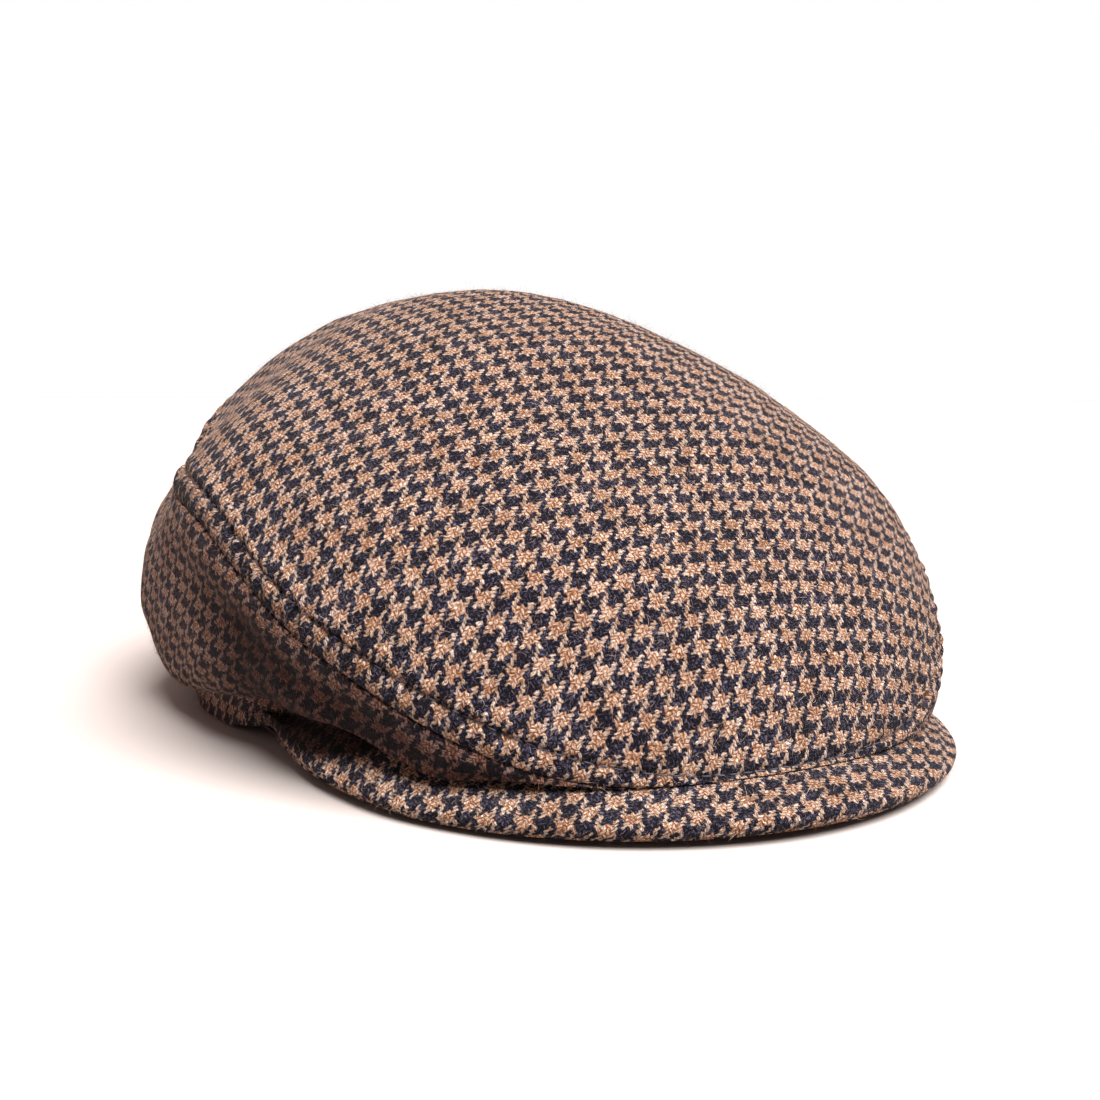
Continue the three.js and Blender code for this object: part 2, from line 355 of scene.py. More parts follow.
class StudioSettings(bpy.types.PropertyGroup):
    """Where the camera stands, and how bright the studio is"""

    azimuth: bpy.props.FloatProperty(
        name="Camera azimuth", description="Which way round the cap the camera stands",
        default=math.radians(-28.4), subtype="ANGLE")
    elevation: bpy.props.FloatProperty(
        name="Camera elevation", description="How far above level the camera stands",
        default=math.radians(7.41), subtype="ANGLE")
    roll: bpy.props.FloatProperty(
        name="Camera roll", description="How far the camera leans", default=math.radians(0.14),
        subtype="ANGLE")
    distance: length_setting(
        "Camera distance", "From the camera to the point that it faces", 0.3603, 0.01)
    aim: bpy.props.FloatVectorProperty(
        name="Camera aim", description="The point that the camera faces", subtype="TRANSLATION",
        size=3, default=(0.0031, -0.0068, 0.0423))
    lens: bpy.props.FloatProperty(
        name="Lens", description="Focal length on a full-frame sensor", default=42.5, min=1,
        unit="CAMERA")
    key_from: bpy.props.FloatVectorProperty(
        name="Key direction", description="Where the key light comes from", subtype="DIRECTION",
        size=3, default=(0.1, -0.6, 1.0))
    key_strength: bpy.props.FloatProperty(
        name="Key light", description="Strength of the large soft light above the front",
        default=11.0, min=0)
    key_softness: bpy.props.FloatProperty(
        name="Key softness", description="How wide the key light looks from the cap",
        default=math.radians(44), subtype="ANGLE")
    fill: bpy.props.FloatProperty(
        name="Fill", description="Brightness of the light from all round", default=0.36, min=0)
    backdrop: bpy.props.FloatProperty(
        name="Backdrop", description="How much brighter it is behind the cap than elsewhere",
        default=1.1, min=0)


def smoothstep(value, low, high):
    share = np.clip((value - low) / (high - low), 0, 1)
    return share * share * (3 - 2 * share)


def hermite(start, leave, end, arrive, share):
    square = share * share
    cube = square * share
    return ((2 * cube - 3 * square + 1) * start + (cube - 2 * square + share) * leave
            + (3 * square - 2 * cube) * end + (cube - square) * arrive)


def row_at(rows, turn):
    """Every column of a table at one turn, on a smooth curve through its rows. The tables hold
    half of the cap, and the other half mirrors them."""
    angle = abs((turn + 180) % 360 - 180)
    last = len(rows) - 1
    mirrored = [rows[1]._replace(turn=-rows[1].turn), *rows,
                rows[last - 1]._replace(turn=2 * rows[last].turn - rows[last - 1].turn)]
    start = 1
    while start < last and mirrored[start + 1].turn < angle:
        start += 1
    before, low, high, after = mirrored[start - 1:start + 3]
    span = high.turn - low.turn
    share = min(max((angle - low.turn) / span, 0), 1)
    columns = []
    for was, begin, end, then in zip(before, low, high, after):
        leave = (end - was) / (high.turn - before.turn) * span
        arrive = (then - begin) / (after.turn - low.turn) * span
        columns.append(hermite(begin, leave, end, arrive, share))
    return type(low)(*columns)


def band_out(turn):
    """How far out the band's outside lies: where a ray from the crown line meets its oval."""
    angle = math.radians(turn)
    side = math.sin(angle) / BAND_HALF_WIDTH
    along = -math.cos(angle) / BAND_HALF_LENGTH
    shift = (CROWN_LINE_Y - BAND_MIDDLE_Y) / BAND_HALF_LENGTH
    a = side * side + along * along
    b = along * shift
    return (-b + math.sqrt(b * b - a * (shift * shift - 1))) / a


def rim_up(turn):
    return RIM_CLIMB_HEIGHT * (1 - float(smoothstep(abs(turn), RIM_CLIMB_TO, RIM_CLIMB_FROM)))


def bezier(*points):
    """Points along a Bezier curve of two or three handles."""
    share = np.linspace(0, 1, CURVE_POINTS)[:, None]
    points = [np.array(point, float) * np.ones((CURVE_POINTS, 1)) for point in points]
    while len(points) > 1:
        points = [a + (b - a) * share for a, b in zip(points, points[1:])]
    return points[0]


def walk(curve, distances):
    """Places at distances along a curve, and the outward direction at each."""
    reach = reach_along(curve)
    places = np.stack([np.interp(distances, reach, curve[:, k]) for k in (0, 1)], axis=1)
    along = np.gradient(curve, axis=0)
    along = np.stack([np.interp(distances, reach, along[:, k]) for k in (0, 1)], axis=1)
    along /= np.linalg.norm(along, axis=1)[:, None]
    return places, np.stack([-along[:, 1], along[:, 0]], axis=1)


def walk_all(curves, distances):
    """Places along many curves and the outward directions there, a row of distances for each."""
    walked = [walk(curve, row) for curve, row in zip(curves, distances)]
    return np.stack([places for places, _ in walked]), np.stack([way for _, way in walked])


def reach_along(line):
    """How far along a line each of its points lies."""
    return np.concatenate([[0], np.cumsum(np.linalg.norm(np.diff(line, axis=0), axis=1))])


def curve_length(curve):
    return float(reach_along(curve)[-1])


def peak_top_curve(turn):
    """The section of the peak's top face, from the band to the free edge."""
    row = row_at(PEAK_ROWS, turn)
    root = (band_out(turn) + SEAM_GAP, rim_up(turn) + PEAK_THICKNESS)
    edge = (max(row.out, root[0] + PEAK_THICKNESS), row.edge_up + PEAK_THICKNESS)
    bend = (root[0] + (edge[0] - root[0]) * PEAK_BEND, root[1])
    return bezier(root, bend, edge)


def resting_up(turn, out):
    """The lowest height that the crown may have: just clear of the peak and the floor."""
    if abs(turn) > PEAK_END:
        return np.full_like(out, SEAM_GAP)
    curve = peak_top_curve(turn)
    return np.interp(out, curve[:, 0], curve[:, 1]) + SEAM_GAP


def lowest_up(turns, sections):
    """The same for a whole grid of sections, a column for each turn."""
    return np.stack([resting_up(turn, row[:, 0]) for turn, row in zip(turns, sections)])


def rest_on(height, lowest, softness=0.0008):
    """The larger of two heights, with a soft turn between them."""
    gap = height - lowest
    return lowest + (gap + np.sqrt(gap * gap + softness * softness)) / 2


def top_curve(turn):
    """The section of the top panel's outside, from the crown line to the seam."""
    row = row_at(CROWN_ROWS, turn)
    angle = math.radians(turn)
    lean = math.radians(row.lean)
    handle = row.seam_out * row.full
    above = (row.seam_out - handle * math.cos(lean), row.seam_up + handle * math.sin(lean))
    bend = math.cos(angle) ** 2 / CROWN_BEND_ALONG + math.sin(angle) ** 2 / CROWN_BEND_ACROSS
    level = math.sqrt((CROWN_HEIGHT - above[1]) / (START_BEND * bend))
    return bezier((0, CROWN_HEIGHT), (level, CROWN_HEIGHT), above, (row.seam_out, row.seam_up))


def side_curve(turn):
    """The section of a side panel's outside, from the seam over its fullest part to the band."""
    row = row_at(CROWN_ROWS, turn)
    lean = math.radians(row.lean)
    tuck = min(max(row.tuck, 0), 1)
    hem_out = row.wide_out + (band_out(turn) + SEAM_GAP - row.wide_out) * tuck
    handle = ROUND_ABOVE * math.hypot(row.wide_out - row.seam_out, row.wide_up - row.seam_up)
    upper = bezier(
        (row.seam_out, row.seam_up),
        (row.seam_out + handle * math.cos(lean), row.seam_up - handle * math.sin(lean)),
        (row.wide_out, row.wide_up + handle),
        (row.wide_out, row.wide_up))
    lower = bezier(
        (row.wide_out, row.wide_up),
        (row.wide_out, row.wide_up + (row.hem_up - row.wide_up) * ROUND_BELOW),
        (hem_out + (row.wide_out - hem_out) * ROUND_UNDER, row.hem_up),
        (hem_out, row.hem_up))
    return np.concatenate([upper, lower[1:]])


def placed(turns, sections):
    """Places in space of the points of sections, a column for each turn."""
    angle = np.radians(turns)[:, None]
    outs = sections[..., 0]
    ups = sections[..., 1]
    return np.stack([outs * np.sin(angle), CROWN_LINE_Y - outs * np.cos(angle), ups], axis=2)


def behind(turns, low, high):
    """For each section, 0 in front of one turn, 1 behind the other, and a blend between them.
    Both halves of the cap are alike."""
    return smoothstep(np.abs(turns)[:, None], low, high)


def swell(places, length, seed):
    """Smooth uneven waves through space, between about -1 and 1, this far from crest to crest."""
    chance = np.random.default_rng(seed)
    total = np.zeros(places.shape[:-1])
    waves = 9
    for _ in range(waves):
        way = chance.normal(size=3)
        way *= 2 * math.pi / (length * chance.uniform(0.7, 1.5) * np.linalg.norm(way))
        total += np.sin(places @ way + chance.uniform(0, 2 * math.pi))
    return total / math.sqrt(waves)


def unevenness(places, waves, seed):
    return waves.height * swell(places, waves.length, seed)


def ring_waves(share, fewest, most, seed):
    """Uneven waves round a closed line, given the share of the way round."""
    chance = np.random.default_rng(seed)
    total = np.zeros_like(share)
    counts = chance.integers(fewest, most, 10)
    for count in counts:
        total += np.sin(2 * math.pi * (count * share + chance.uniform()))
    return total / math.sqrt(len(counts))


def rolled_edge(distance, roll):
    """How far a panel's edge rolls in where it meets the next one."""
    near = 1 - np.clip(distance / roll.width, 0, 1)
    return -roll.depth * (1 - np.sqrt(1 - near * near))


def hump(distance, width):
    """1 at no distance, falling away smoothly to nothing at about twice this width."""
    return np.exp(-(distance / width) ** 2)


# One side of each triangle of a surface: the numbers of its ends, its vector when the triangle
# is laid flat by itself, and how strongly it keeps that vector
Sides = namedtuple("Sides", "start end vector pull")


def area_between(first, second):
    """The area between flat vectors, with the sign of the turn from one to the other."""
    return first[..., 0] * second[..., 1] - first[..., 1] * second[..., 0]


def triangle_sides(points, triangles):
    corners = points[triangles]
    first = corners[:, 1] - corners[:, 0]
    second = corners[:, 2] - corners[:, 0]
    base = np.linalg.norm(first, axis=1)
    along = (second * first).sum(axis=1) / base
    height = np.linalg.norm(np.cross(first, second), axis=1) / base
    zero = np.zeros_like(base)
    flat = np.stack([zero, zero, base, zero, along, height], 1).reshape(-1, 3, 2)
    sides = []
    for a, b, c in ((0, 1, 2), (1, 2, 0), (2, 0, 1)):
        to_a = flat[:, a] - flat[:, c]
        to_b = flat[:, b] - flat[:, c]
        pull = (to_a * to_b).sum(axis=1) / np.abs(area_between(to_a, to_b))
        sides.append(Sides(triangles[:, a], triangles[:, b], flat[:, a] - flat[:, b],
                           np.maximum(pull, LEAST_PULL)))
    return sides


def flatten(points, triangles, start):
    """Lays a surface flat with as little stretch as it can, as cloth lies before it is shaped.
    In each round every triangle is turned to fit its sides as they lie, and then all are joined."""
    sides = triangle_sides(points, triangles)
    pull = np.zeros((len(points), len(points)))
    for side in sides:
        for i, j in ((side.start, side.end), (side.end, side.start)):
            np.add.at(pull, (i, j), -side.pull)
            np.add.at(pull, (i, i), side.pull)
    solve = np.linalg.inv(pull[1:, 1:])
    aim = start - start[0]
    flat = aim
    for _ in range(FLAT_ROUNDS):
        now = [flat[side.start] - flat[side.end] for side in sides]
        cosine = sum(side.pull * (side.vector * way).sum(axis=1) for side, way in zip(sides, now))
        sine = sum(side.pull * area_between(side.vector, way) for side, way in zip(sides, now))
        size = np.hypot(cosine, sine)
        cosine, sine = cosine / size, sine / size
        pushed = np.zeros_like(flat)
        for side in sides:
            x, y = side.vector.T
            turned = np.stack([cosine * x - sine * y, sine * x + cosine * y], 1)
            np.add.at(pushed, side.start, side.pull[:, None] * turned)
            np.add.at(pushed, side.end, -side.pull[:, None] * turned)
        flat = np.concatenate([[[0, 0]], solve @ pushed[1:]])
    return turned_to(flat, aim)


def turned_to(flat, aim):
    """Turns the whole of a flat cloth to lie as near as it can to a first guess."""
    angle = math.atan2(area_between(flat, aim).sum(), (flat * aim).sum())
    spin = np.array([[math.cos(angle), math.sin(angle)], [-math.sin(angle), math.cos(angle)]])
    return flat @ spin


def grid_triangles(columns, rows):
    """Triangles of a grid whose columns run to the right and whose rows run down."""
    column, row = np.meshgrid(np.arange(columns - 1), np.arange(rows - 1), indexing="ij")
    here = (column * rows + row).ravel()
    return np.concatenate([
        np.stack([here, here + 1, here + rows + 1], 1),
        np.stack([here, here + rows + 1, here + rows], 1)])


class ClothMap:
    """Where each place of a swept surface lies on the flat cloth, in metres of cloth."""

    def __init__(self, turns, curve_at, start_at, shift, from_pole=False):
        self.turns = turns
        self.closed = from_pole
        shares = np.linspace(0, 1, FLAT_ROWS + 1)
        places = np.stack([walk(curve, shares * curve_length(curve))[0]
                           for curve in map(curve_at, turns)])
        points = placed(turns, places)
        lengths = np.array([curve_length(curve_at(turn)) for turn in turns])
        start = start_at(points, shares[None, :] * lengths[:, None])
        if from_pole:
            self.table = self.flatten_dome(points, start)
        else:
            triangles = grid_triangles(len(turns), FLAT_ROWS + 1)
            flat = flatten(points.reshape(-1, 3), triangles, start.reshape(-1, 2))
            self.table = flat.reshape(len(turns), FLAT_ROWS + 1, 2)
        self.table = self.table + np.array(shift)

    @staticmethod
    def flatten_dome(points, start):
        """The same for a surface whose first row is a single point and whose columns close."""
        columns, rows = points.shape[:2]
        number = 1 + np.arange(columns)[:, None] * (rows - 1) + np.arange(-1, rows - 1)[None, :]
        number[:, 0] = 0
        after = np.roll(number, -1, axis=0)
        cells = [(number[:, 1:-1], number[:, 2:], after[:, 2:]),
                 (number[:, 1:-1], after[:, 2:], after[:, 1:-1]),
                 (number[:, :1], number[:, 1:2], after[:, 1:2])]
        triangles = np.concatenate([np.stack([corner.ravel() for corner in cell], 1) for cell in cells])
        every = np.concatenate([points[:1, 0], points[:, 1:].reshape(-1, 3)])
        begin = np.concatenate([start[:1, 0], start[:, 1:].reshape(-1, 2)])
        return flatten(every, triangles, begin)[number]

    def at(self, turns, shares):
        """Places on the cloth for a grid of places: a column for each turn, shares down it."""
        step = self.turns[1] - self.turns[0]
        where = (turns - self.turns[0]) / step
        last = len(self.turns) - (0 if self.closed else 1)
        column = np.clip(np.floor(where).astype(int), 0, last - 1)
        share = (where - column)[:, None, None]
        rows = [self.column(column + offset, shares) for offset in (-1, 0, 1, 2)]
        leave = (rows[2] - rows[0]) / 2
        arrive = (rows[3] - rows[1]) / 2
        return hermite(rows[1], leave, rows[2], arrive, share)

    def column(self, index, shares):
        if self.closed:
            index = index % len(self.turns)
        else:
            index = np.clip(index, 0, len(self.turns) - 1)
        row = np.clip(shares, 0, 1) * FLAT_ROWS
        below = np.clip(np.floor(row).astype(int), 0, FLAT_ROWS - 1)
        share = (row - below)[..., None]
        index = index[:, None]
        return self.table[index, below] * (1 - share) + self.table[index, below + 1] * share


# The outside of a panel, a column for each turn: face is its shaped section and plain the section that
# the shape stands out from, with outward its outward directions. cloth is where each place lies on the
# flat cloth, and the last field holds its painted shade, how much darker it is painted.
Sheet = namedtuple("Sheet", "turns face plain outward cloth grime")

# For each piece that has been made, the places of its outside in space, their cloth and their painted
# shade
OUTSIDES = {}


def swept_piece(name, places, cloth, grime, ends):
    """A closed mesh from a grid of section loops, a column for each turn. Loops run down the outside
    and back up the inside. cloth and the painted shade say where on the flat cloth each place lies and
    how much darker it is painted. ends says whether the first and last section are closed."""
    columns, rows = places.shape[:2]
    column, row = np.meshgrid(np.arange(columns - 1), np.arange(rows), indexing="ij")
    below = (row + 1) % rows
    quads = np.stack([column * rows + row, column * rows + below,
                      (column + 1) * rows + below, (column + 1) * rows + row], axis=2).reshape(-1, 4)
    faces = quads.tolist()
    if ends:
        final = (columns - 1) * rows
        for near in range(rows // 2 - 1):
            far = rows - 1 - near
            faces.append([far, far - 1, near + 1, near])
            faces.append([final + near, final + near + 1, final + far - 1, final + far])
    mesh = bpy.data.meshes.new(name)
    mesh.from_pydata(places.reshape(-1, 3).tolist(), [], faces)
    lay_cloth(mesh, cloth.reshape(-1, 2))
    lay_painted_shade(mesh, np.broadcast_to(grime, places.shape[:2]))
    join_doubles(mesh)
    return add_piece(name, mesh)


def lay_cloth(mesh, cloth):
    corners = np.empty(len(mesh.loops), dtype=np.int32)
    mesh.loops.foreach_get("vertex_index", corners)
    layer = mesh.uv_layers.new(name=CLOTH_MAP)
    layer.uv.foreach_set("vector", cloth[corners].astype(np.float32).ravel())


def lay_painted_shade(mesh, grime):
    """How much darker each point is painted, as painted shade, from 0 to 1. Below 0, it is painted
    paler, as painted light.
    """
    layer = mesh.attributes.new(PAINTED_SHADE_ATTRIBUTE, "FLOAT", "POINT")
    layer.data.foreach_set("value", grime.astype(np.float32).ravel())


def join_doubles(mesh):
    work = bmesh.new()
    work.from_mesh(mesh)
    bmesh.ops.remove_doubles(work, verts=work.verts, dist=1e-7)
    bmesh.ops.dissolve_degenerate(work, edges=work.edges, dist=1e-8)
    work.to_mesh(mesh)
    work.free()


def add_piece(name, mesh):
    mesh.polygons.foreach_set("use_smooth", [True] * len(mesh.polygons))
    piece = bpy.data.objects.new(name, mesh)
    bpy.context.scene.collection.objects.link(piece)
    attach(piece, BODY)
    return piece


def crown_start(points, reach):
    """A first guess at the flat top panel: each section laid out straight from the crown."""
    angle = np.arctan2(points[:, -1:, 0], CROWN_LINE_Y - points[:, -1:, 1])
    return np.stack([reach * np.sin(angle), -reach * np.cos(angle)], axis=2)


def side_start(points, reach):
    """A first guess at a flat side panel: its sections hang side by side from a level line."""
    along = reach_along(points[:, 0])[:, None]
    return np.stack([np.broadcast_to(along, reach.shape), -reach], axis=2)


def peak_start(points, reach):
    return points[..., :2]


def crown_cloth():
    turns = np.arange(-180, 180, FLAT_STEP).astype(float)
    return ClothMap(turns, top_curve, crown_start, (0.0011, 0.0023), from_pole=True)


def seam_shares(turns):
    """The share of the way round the seam at each turn, and the whole length of the seam."""
    rows = [row_at(CROWN_ROWS, turn) for turn in turns]
    seam = np.array([[(row.seam_out, row.seam_up)] for row in rows])
    reach = reach_along(placed(turns, seam)[:, 0])
    return reach / reach[-1], reach[-1]


def welt_share(turns):
    """How wide the welt is and how deep its stitches pull, as a share of their full size."""
    full = behind(turns, WELT_FRONT_TURN, WELT_FULL_TURN)
    return WELT_FRONT_SHARE + (1 - WELT_FRONT_SHARE) * full


def welt_lift(from_seam, round_share, seam_length, kept, seams):
    """How far the welt stands out, with the groove and the ridge beside it and the puckers that
    its stitches gather. kept is the share of its full size that the welt has."""
    welt = seams.welt_width * kept
    beyond = from_seam - welt
    rise = seams.welt_height * np.sin(math.pi * np.clip(from_seam / welt, 0, 1))
    stitches = round(seam_length / seams.stitch_pitch)
    pull = 0.7 - 0.3 * np.cos(2 * math.pi * stitches * round_share)
    rise -= GROOVE_DEPTH * pull * hump(beyond, GROOVE_WIDTH)
    rise += RIDGE_HEIGHT * hump(beyond - RIDGE_AWAY, RIDGE_WIDTH)
    slanted = round_share + PUCKER_SLANT * beyond / seam_length
    pucker = ring_waves(slanted, PUCKERS_FEWEST, PUCKERS_MOST, 3)
    near = hump(from_seam - PUCKER_MIDDLE, PUCKER_REACH) * np.clip(from_seam / PUCKER_STARTS, 0, 1)
    return kept * (rise + seams.pucker_height * pucker * near)


def top_painted_shade(from_seam, kept, turns, seams):
    """Painted shade in the stitched crease, and on the cloth beside the seam where it turns down at the
    sides.
    """
    crease = CREASE_PAINTED_SHADE * kept * hump(from_seam - seams.welt_width * kept, CREASE_PAINTED_SHADE_WIDTH)
    beside_seam = 1 - smoothstep(from_seam / seams.welt_width, 0.2, 1.7)
    return np.maximum(crease, SEAM_PAINTED_SHADE * beside_seam * behind(turns, *SEAM_PAINTED_SHADE_STARTS))


def top_panel_sheet(seams):
    """The outside of the top panel, from the crown line to the seam."""
    turns = np.linspace(-180, 180, TOP_COLUMNS + 1)
    curves = [top_curve(turn) for turn in turns]
    lengths = np.array([curve_length(curve) for curve in curves])[:, None]
    beside = np.arange(0, TOP_WELT_REACH, TOP_WELT_STEP)[::-1]
    open_share = np.linspace(0, 1, TOP_OPEN_ROWS + 1)[None, :]
    open_reach = open_share * (lengths - TOP_WELT_REACH)
    reach = np.concatenate([open_reach, lengths - beside[None, :]], axis=1)
    plain, outward = walk_all(curves, reach)
    places = placed(turns, plain)
    from_seam = lengths - reach
    round_share, seam_length = seam_shares(turns)
    kept = welt_share(turns)
    lift = welt_lift(from_seam, round_share[:, None], seam_length, kept, seams)
    lift += rolled_edge(from_seam, TOP_EDGE)
    lift += unevenness(places, TOP_BROAD, 11) * smoothstep(from_seam, 0.004, 0.03)
    lift += unevenness(places, TOP_FINE, 12) * smoothstep(from_seam, 0.004, 0.02)
    face = plain + outward * lift[..., None]
    face[..., 1] = rest_on(face[..., 1], lowest_up(turns, face))
    cloth = crown_cloth().at(turns, reach / lengths)
    return Sheet(turns, face, plain, outward, cloth, top_painted_shade(from_seam, kept, turns, seams))


def thin_rows(count, wanted):
    """The numbers of this many rows out of a count, from the last to the first."""
    return np.unique(np.linspace(0, count - 1, wanted).round().astype(int))[::-1]


def make_panel(name, sheet, thickness, inside_rows, inside_painted_shade, ends):
    """A panel of cloth from its outside. The inside is plain, and has fewer rows."""
    outside = placed(sheet.turns, sheet.face)
    OUTSIDES[name.removesuffix("_cloth")] = outside, sheet.cloth, sheet.grime
    rows = thin_rows(sheet.face.shape[1], inside_rows)
    back = sheet.plain[:, rows] - sheet.outward[:, rows] * thickness
    back[..., 0] = np.maximum(back[..., 0], 0)
    back[..., 1] = np.maximum(back[..., 1], lowest_up(sheet.turns, back))
    inside = placed(sheet.turns, back)
    return swept_piece(
        name,
        np.concatenate([outside, inside], axis=1),
        np.concatenate([sheet.cloth, sheet.cloth[:, rows]], axis=1),
        np.concatenate([sheet.grime, inside_painted_shade * sheet.grime[:, rows]], axis=1),
        ends)


def make_top_panel(seams):
    piece = make_panel("top_panel", top_panel_sheet(seams), CLOTH_THICKNESS, INSIDE_ROWS, 0, False)
    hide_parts("crown_top")
    return piece


def fold_lift(turns, ups):
    lift = np.zeros_like(ups)
    for fold in FOLDS:
        along = (np.abs(turns)[:, None] - fold.turn) / fold.spread
        across = (ups - fold.up) / fold.width
        lift += fold.height * hump(along, 1) * hump(across, 1)
    return lift


def near_temple(turns):
    """How deep in the hollow under the overhang each section lies, from 0 to 1."""
    return behind(turns, *HOLLOW_STARTS) * (1 - behind(turns, *HOLLOW_ENDS))


def side_painted_shade(turns, share):
    """The painted shade in the hollow, from under the seam at the front and lower down towards the ear.
    """
    under_seam = UNDER_SEAM_SHADE * (1 - behind(turns, *UNDER_SEAM_ENDS))
    below = under_seam + (1 - under_seam) * smoothstep(share, 0, 0.3)
    return HOLLOW_PAINTED_SHADE * below * near_temple(turns)


def side_panel_sheet(side):
    """The outside of a side panel: side is -1 for the wearer's right and 1 for the left."""
    back_row = CROWN_ROWS[-1]
    back_turn = back_row.turn - math.degrees(SEAM_GAP / 2 / back_row.seam_out)
    turns = side * np.linspace(PANEL_FRONT_TURN, back_turn, SIDE_COLUMNS + 1)[::side]
    curves = [side_curve(turn) for turn in turns]
    lengths = np.array([curve_length(curve) for curve in curves])[:, None]
    share = np.linspace(0, 1, SIDE_ROWS + 1) ** 1.25
    full = behind(turns, PANEL_FRONT_TURN, PANEL_FULL_TURN)
    kept = PANEL_FRONT_HEIGHT + (1 - PANEL_FRONT_HEIGHT) * full
    reach = share[None, :] * lengths * kept
    plain, outward = walk_all(curves, reach)
    places = placed(turns, plain)
    free = np.sin(math.pi * share)[None, :]
    lift = free * fold_lift(turns, plain[..., 1])
    lift += free * unevenness(places, SIDE_BROAD, 21 + side)
    lift += free * unevenness(places, SIDE_FINE, 25 + side)
    lift += rolled_edge(reach, SIDE_EDGE) * np.clip(lengths / 0.012, 0.2, 1)
    from_back = np.radians(back_turn - np.abs(turns)[:, None]) * back_row.wide_out
    lift += rolled_edge(from_back, BACK_EDGE)
    face = plain + outward * lift[..., None]
    face[..., 1] = rest_on(face[..., 1], lowest_up(turns, face))
    flat_turns = side * np.linspace(PANEL_FRONT_TURN, back_turn, FLAT_COLUMNS)[::side]
    shift = (0.0031 + 0.0017 * side, 0.0013)
    cloth = ClothMap(flat_turns, side_curve, side_start, shift).at(turns, reach / lengths)
    return Sheet(turns, face, plain, outward, cloth, side_painted_shade(turns, reach / lengths))


def make_side_panel(name, side):
    sheet = side_panel_sheet(side)
    full = behind(sheet.turns, PANEL_FRONT_TURN, PANEL_FULL_TURN)[..., None]
    thickness = PANEL_FRONT_THICKNESS + (CLOTH_THICKNESS - PANEL_FRONT_THICKNESS) * full
    piece = make_panel(f"{name}_cloth", sheet, thickness, SIDE_ROWS + 1, 1, True)
    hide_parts(name)
    return piece


def head_band_section(turn):
    """A strip of cloth that stands on its rounded lower fold."""
    out = band_out(turn)
    half = CLOTH_THICKNESS / 2
    fold_up = rim_up(turn) + half
    down = BAND_TOP_UP + (fold_up - BAND_TOP_UP) * np.linspace(0, 1, BAND_ROWS)
    fold = np.linspace(0, math.pi, BAND_FOLD_POINTS)[1:-1]
    return np.concatenate([
        np.stack([np.full_like(down, out), down], 1),
        np.stack([out - half + half * np.cos(fold), fold_up - half * np.sin(fold)], 1),
        np.stack([np.full_like(down, out - CLOTH_THICKNESS), down[::-1]], 1)])


def head_band_loops():
    """The head band's sections, and where each place lies on its strip of cloth."""
    turns = np.linspace(-180, 180, BAND_COLUMNS + 1)
    loops = np.stack([head_band_section(turn) for turn in turns])
    places = placed(turns, loops)
    along = reach_along(places[:, 0])[:, None]
    down = np.stack([reach_along(loop) for loop in loops])
    cloth = np.stack([np.broadcast_to(along, down.shape), -down], axis=2)
    away = smoothstep(180 - np.abs(turns), 0, 4)[:, None]
    loops[:, :, 0] += unevenness(places, BAND_WAVES, 31) * away
    return turns, loops, cloth


def make_head_band():
    turns, loops, cloth = head_band_loops()
    places = placed(turns, loops)
    # Painted shade on the band in the hollow under the overhang
    grime = HOLLOW_PAINTED_SHADE * near_temple(turns) * np.ones(places.shape[1])
    seen = slice(0, BAND_ROWS + BAND_FOLD_POINTS // 2)
    OUTSIDES["head_band"] = places[:, seen], cloth[:, seen], grime[:, seen]
    piece = swept_piece("head_band_cloth", places, cloth, grime, False)
    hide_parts("head_band")
    return piece


def peak_section(turn, share):
    """The peak's top face, its rounded edge with the seam in it, and its underside. share says
    how far across its top face each row lies."""
    curve = peak_top_curve(turn)
    half = PEAK_THICKNESS / 2
    top, outward = walk(curve, share * (curve_length(curve) - half))
    facing = outward[-1]
    middle = top[-1] - facing * half
    sag = PEAK_SAG * (smoothstep(abs(turn), PEAK_SAG_FROM, PEAK_SAG_FULL)
                      - smoothstep(abs(turn), PEAK_SAG_FULL, PEAK_SAG_ENDS))
    top[:, 1] -= sag * (1 - smoothstep(share, 0.35, 0.95))
    forward = np.array([facing[1], -facing[0]])
    angle = np.linspace(0, math.pi, PEAK_EDGE_POINTS)[:, None]
    radius = half - EDGE_SEAM_DEPTH * hump(angle - EDGE_SEAM_AT, EDGE_SEAM_WIDTH)
    ahead = np.sin(angle) ** EDGE_SQUARENESS
    edge = middle + radius * (ahead * forward + np.cos(angle) * facing)
    under = top[-2:0:-1] - np.array([0, PEAK_THICKNESS])
    return np.concatenate([top, edge[1:], under])


def peak_loops():
    """The peak's sections, and how far across its whole top face each of their first rows lies."""
    turns = np.linspace(-PEAK_END, PEAK_END, PEAK_COLUMNS + 1)
    share = np.linspace(0, 1, PEAK_ROWS_DOWN + 1) ** 0.8
    loops = np.stack([peak_section(turn, share) for turn in turns])
    root = np.array([[band_out(turn) + SEAM_GAP] for turn in turns])
    kept = 1 - PEAK_TAPER * behind(turns, PEAK_CORNER, PEAK_CORNER_END)
    loops[..., 0] = root + (loops[..., 0] - root) * kept
    lengths = np.array([curve_length(peak_top_curve(turn)) for turn in turns])[:, None]
    return turns, loops, share * (lengths - PEAK_THICKNESS / 2) / lengths


def peak_cloth(turns, loops, shares):
    """Where the peak's cover lies on the flat cloth. Past the top face it runs straight on."""
    flat_turns = np.linspace(-PEAK_END, PEAK_END, FLAT_COLUMNS)
    top = ClothMap(flat_turns, peak_top_curve, peak_start, (0.0016, 0.0009)).at(turns, shares)
    rows = top.shape[1]
    down = np.stack([reach_along(loop) for loop in loops])
    way = top[:, -1] - top[:, -2]
    way /= np.linalg.norm(way, axis=1)[:, None]
    beyond = (down[:, rows:] - down[:, rows - 1:rows])[..., None] * way[:, None, :]
    return np.concatenate([top, top[:, -1:] + beyond], axis=1)


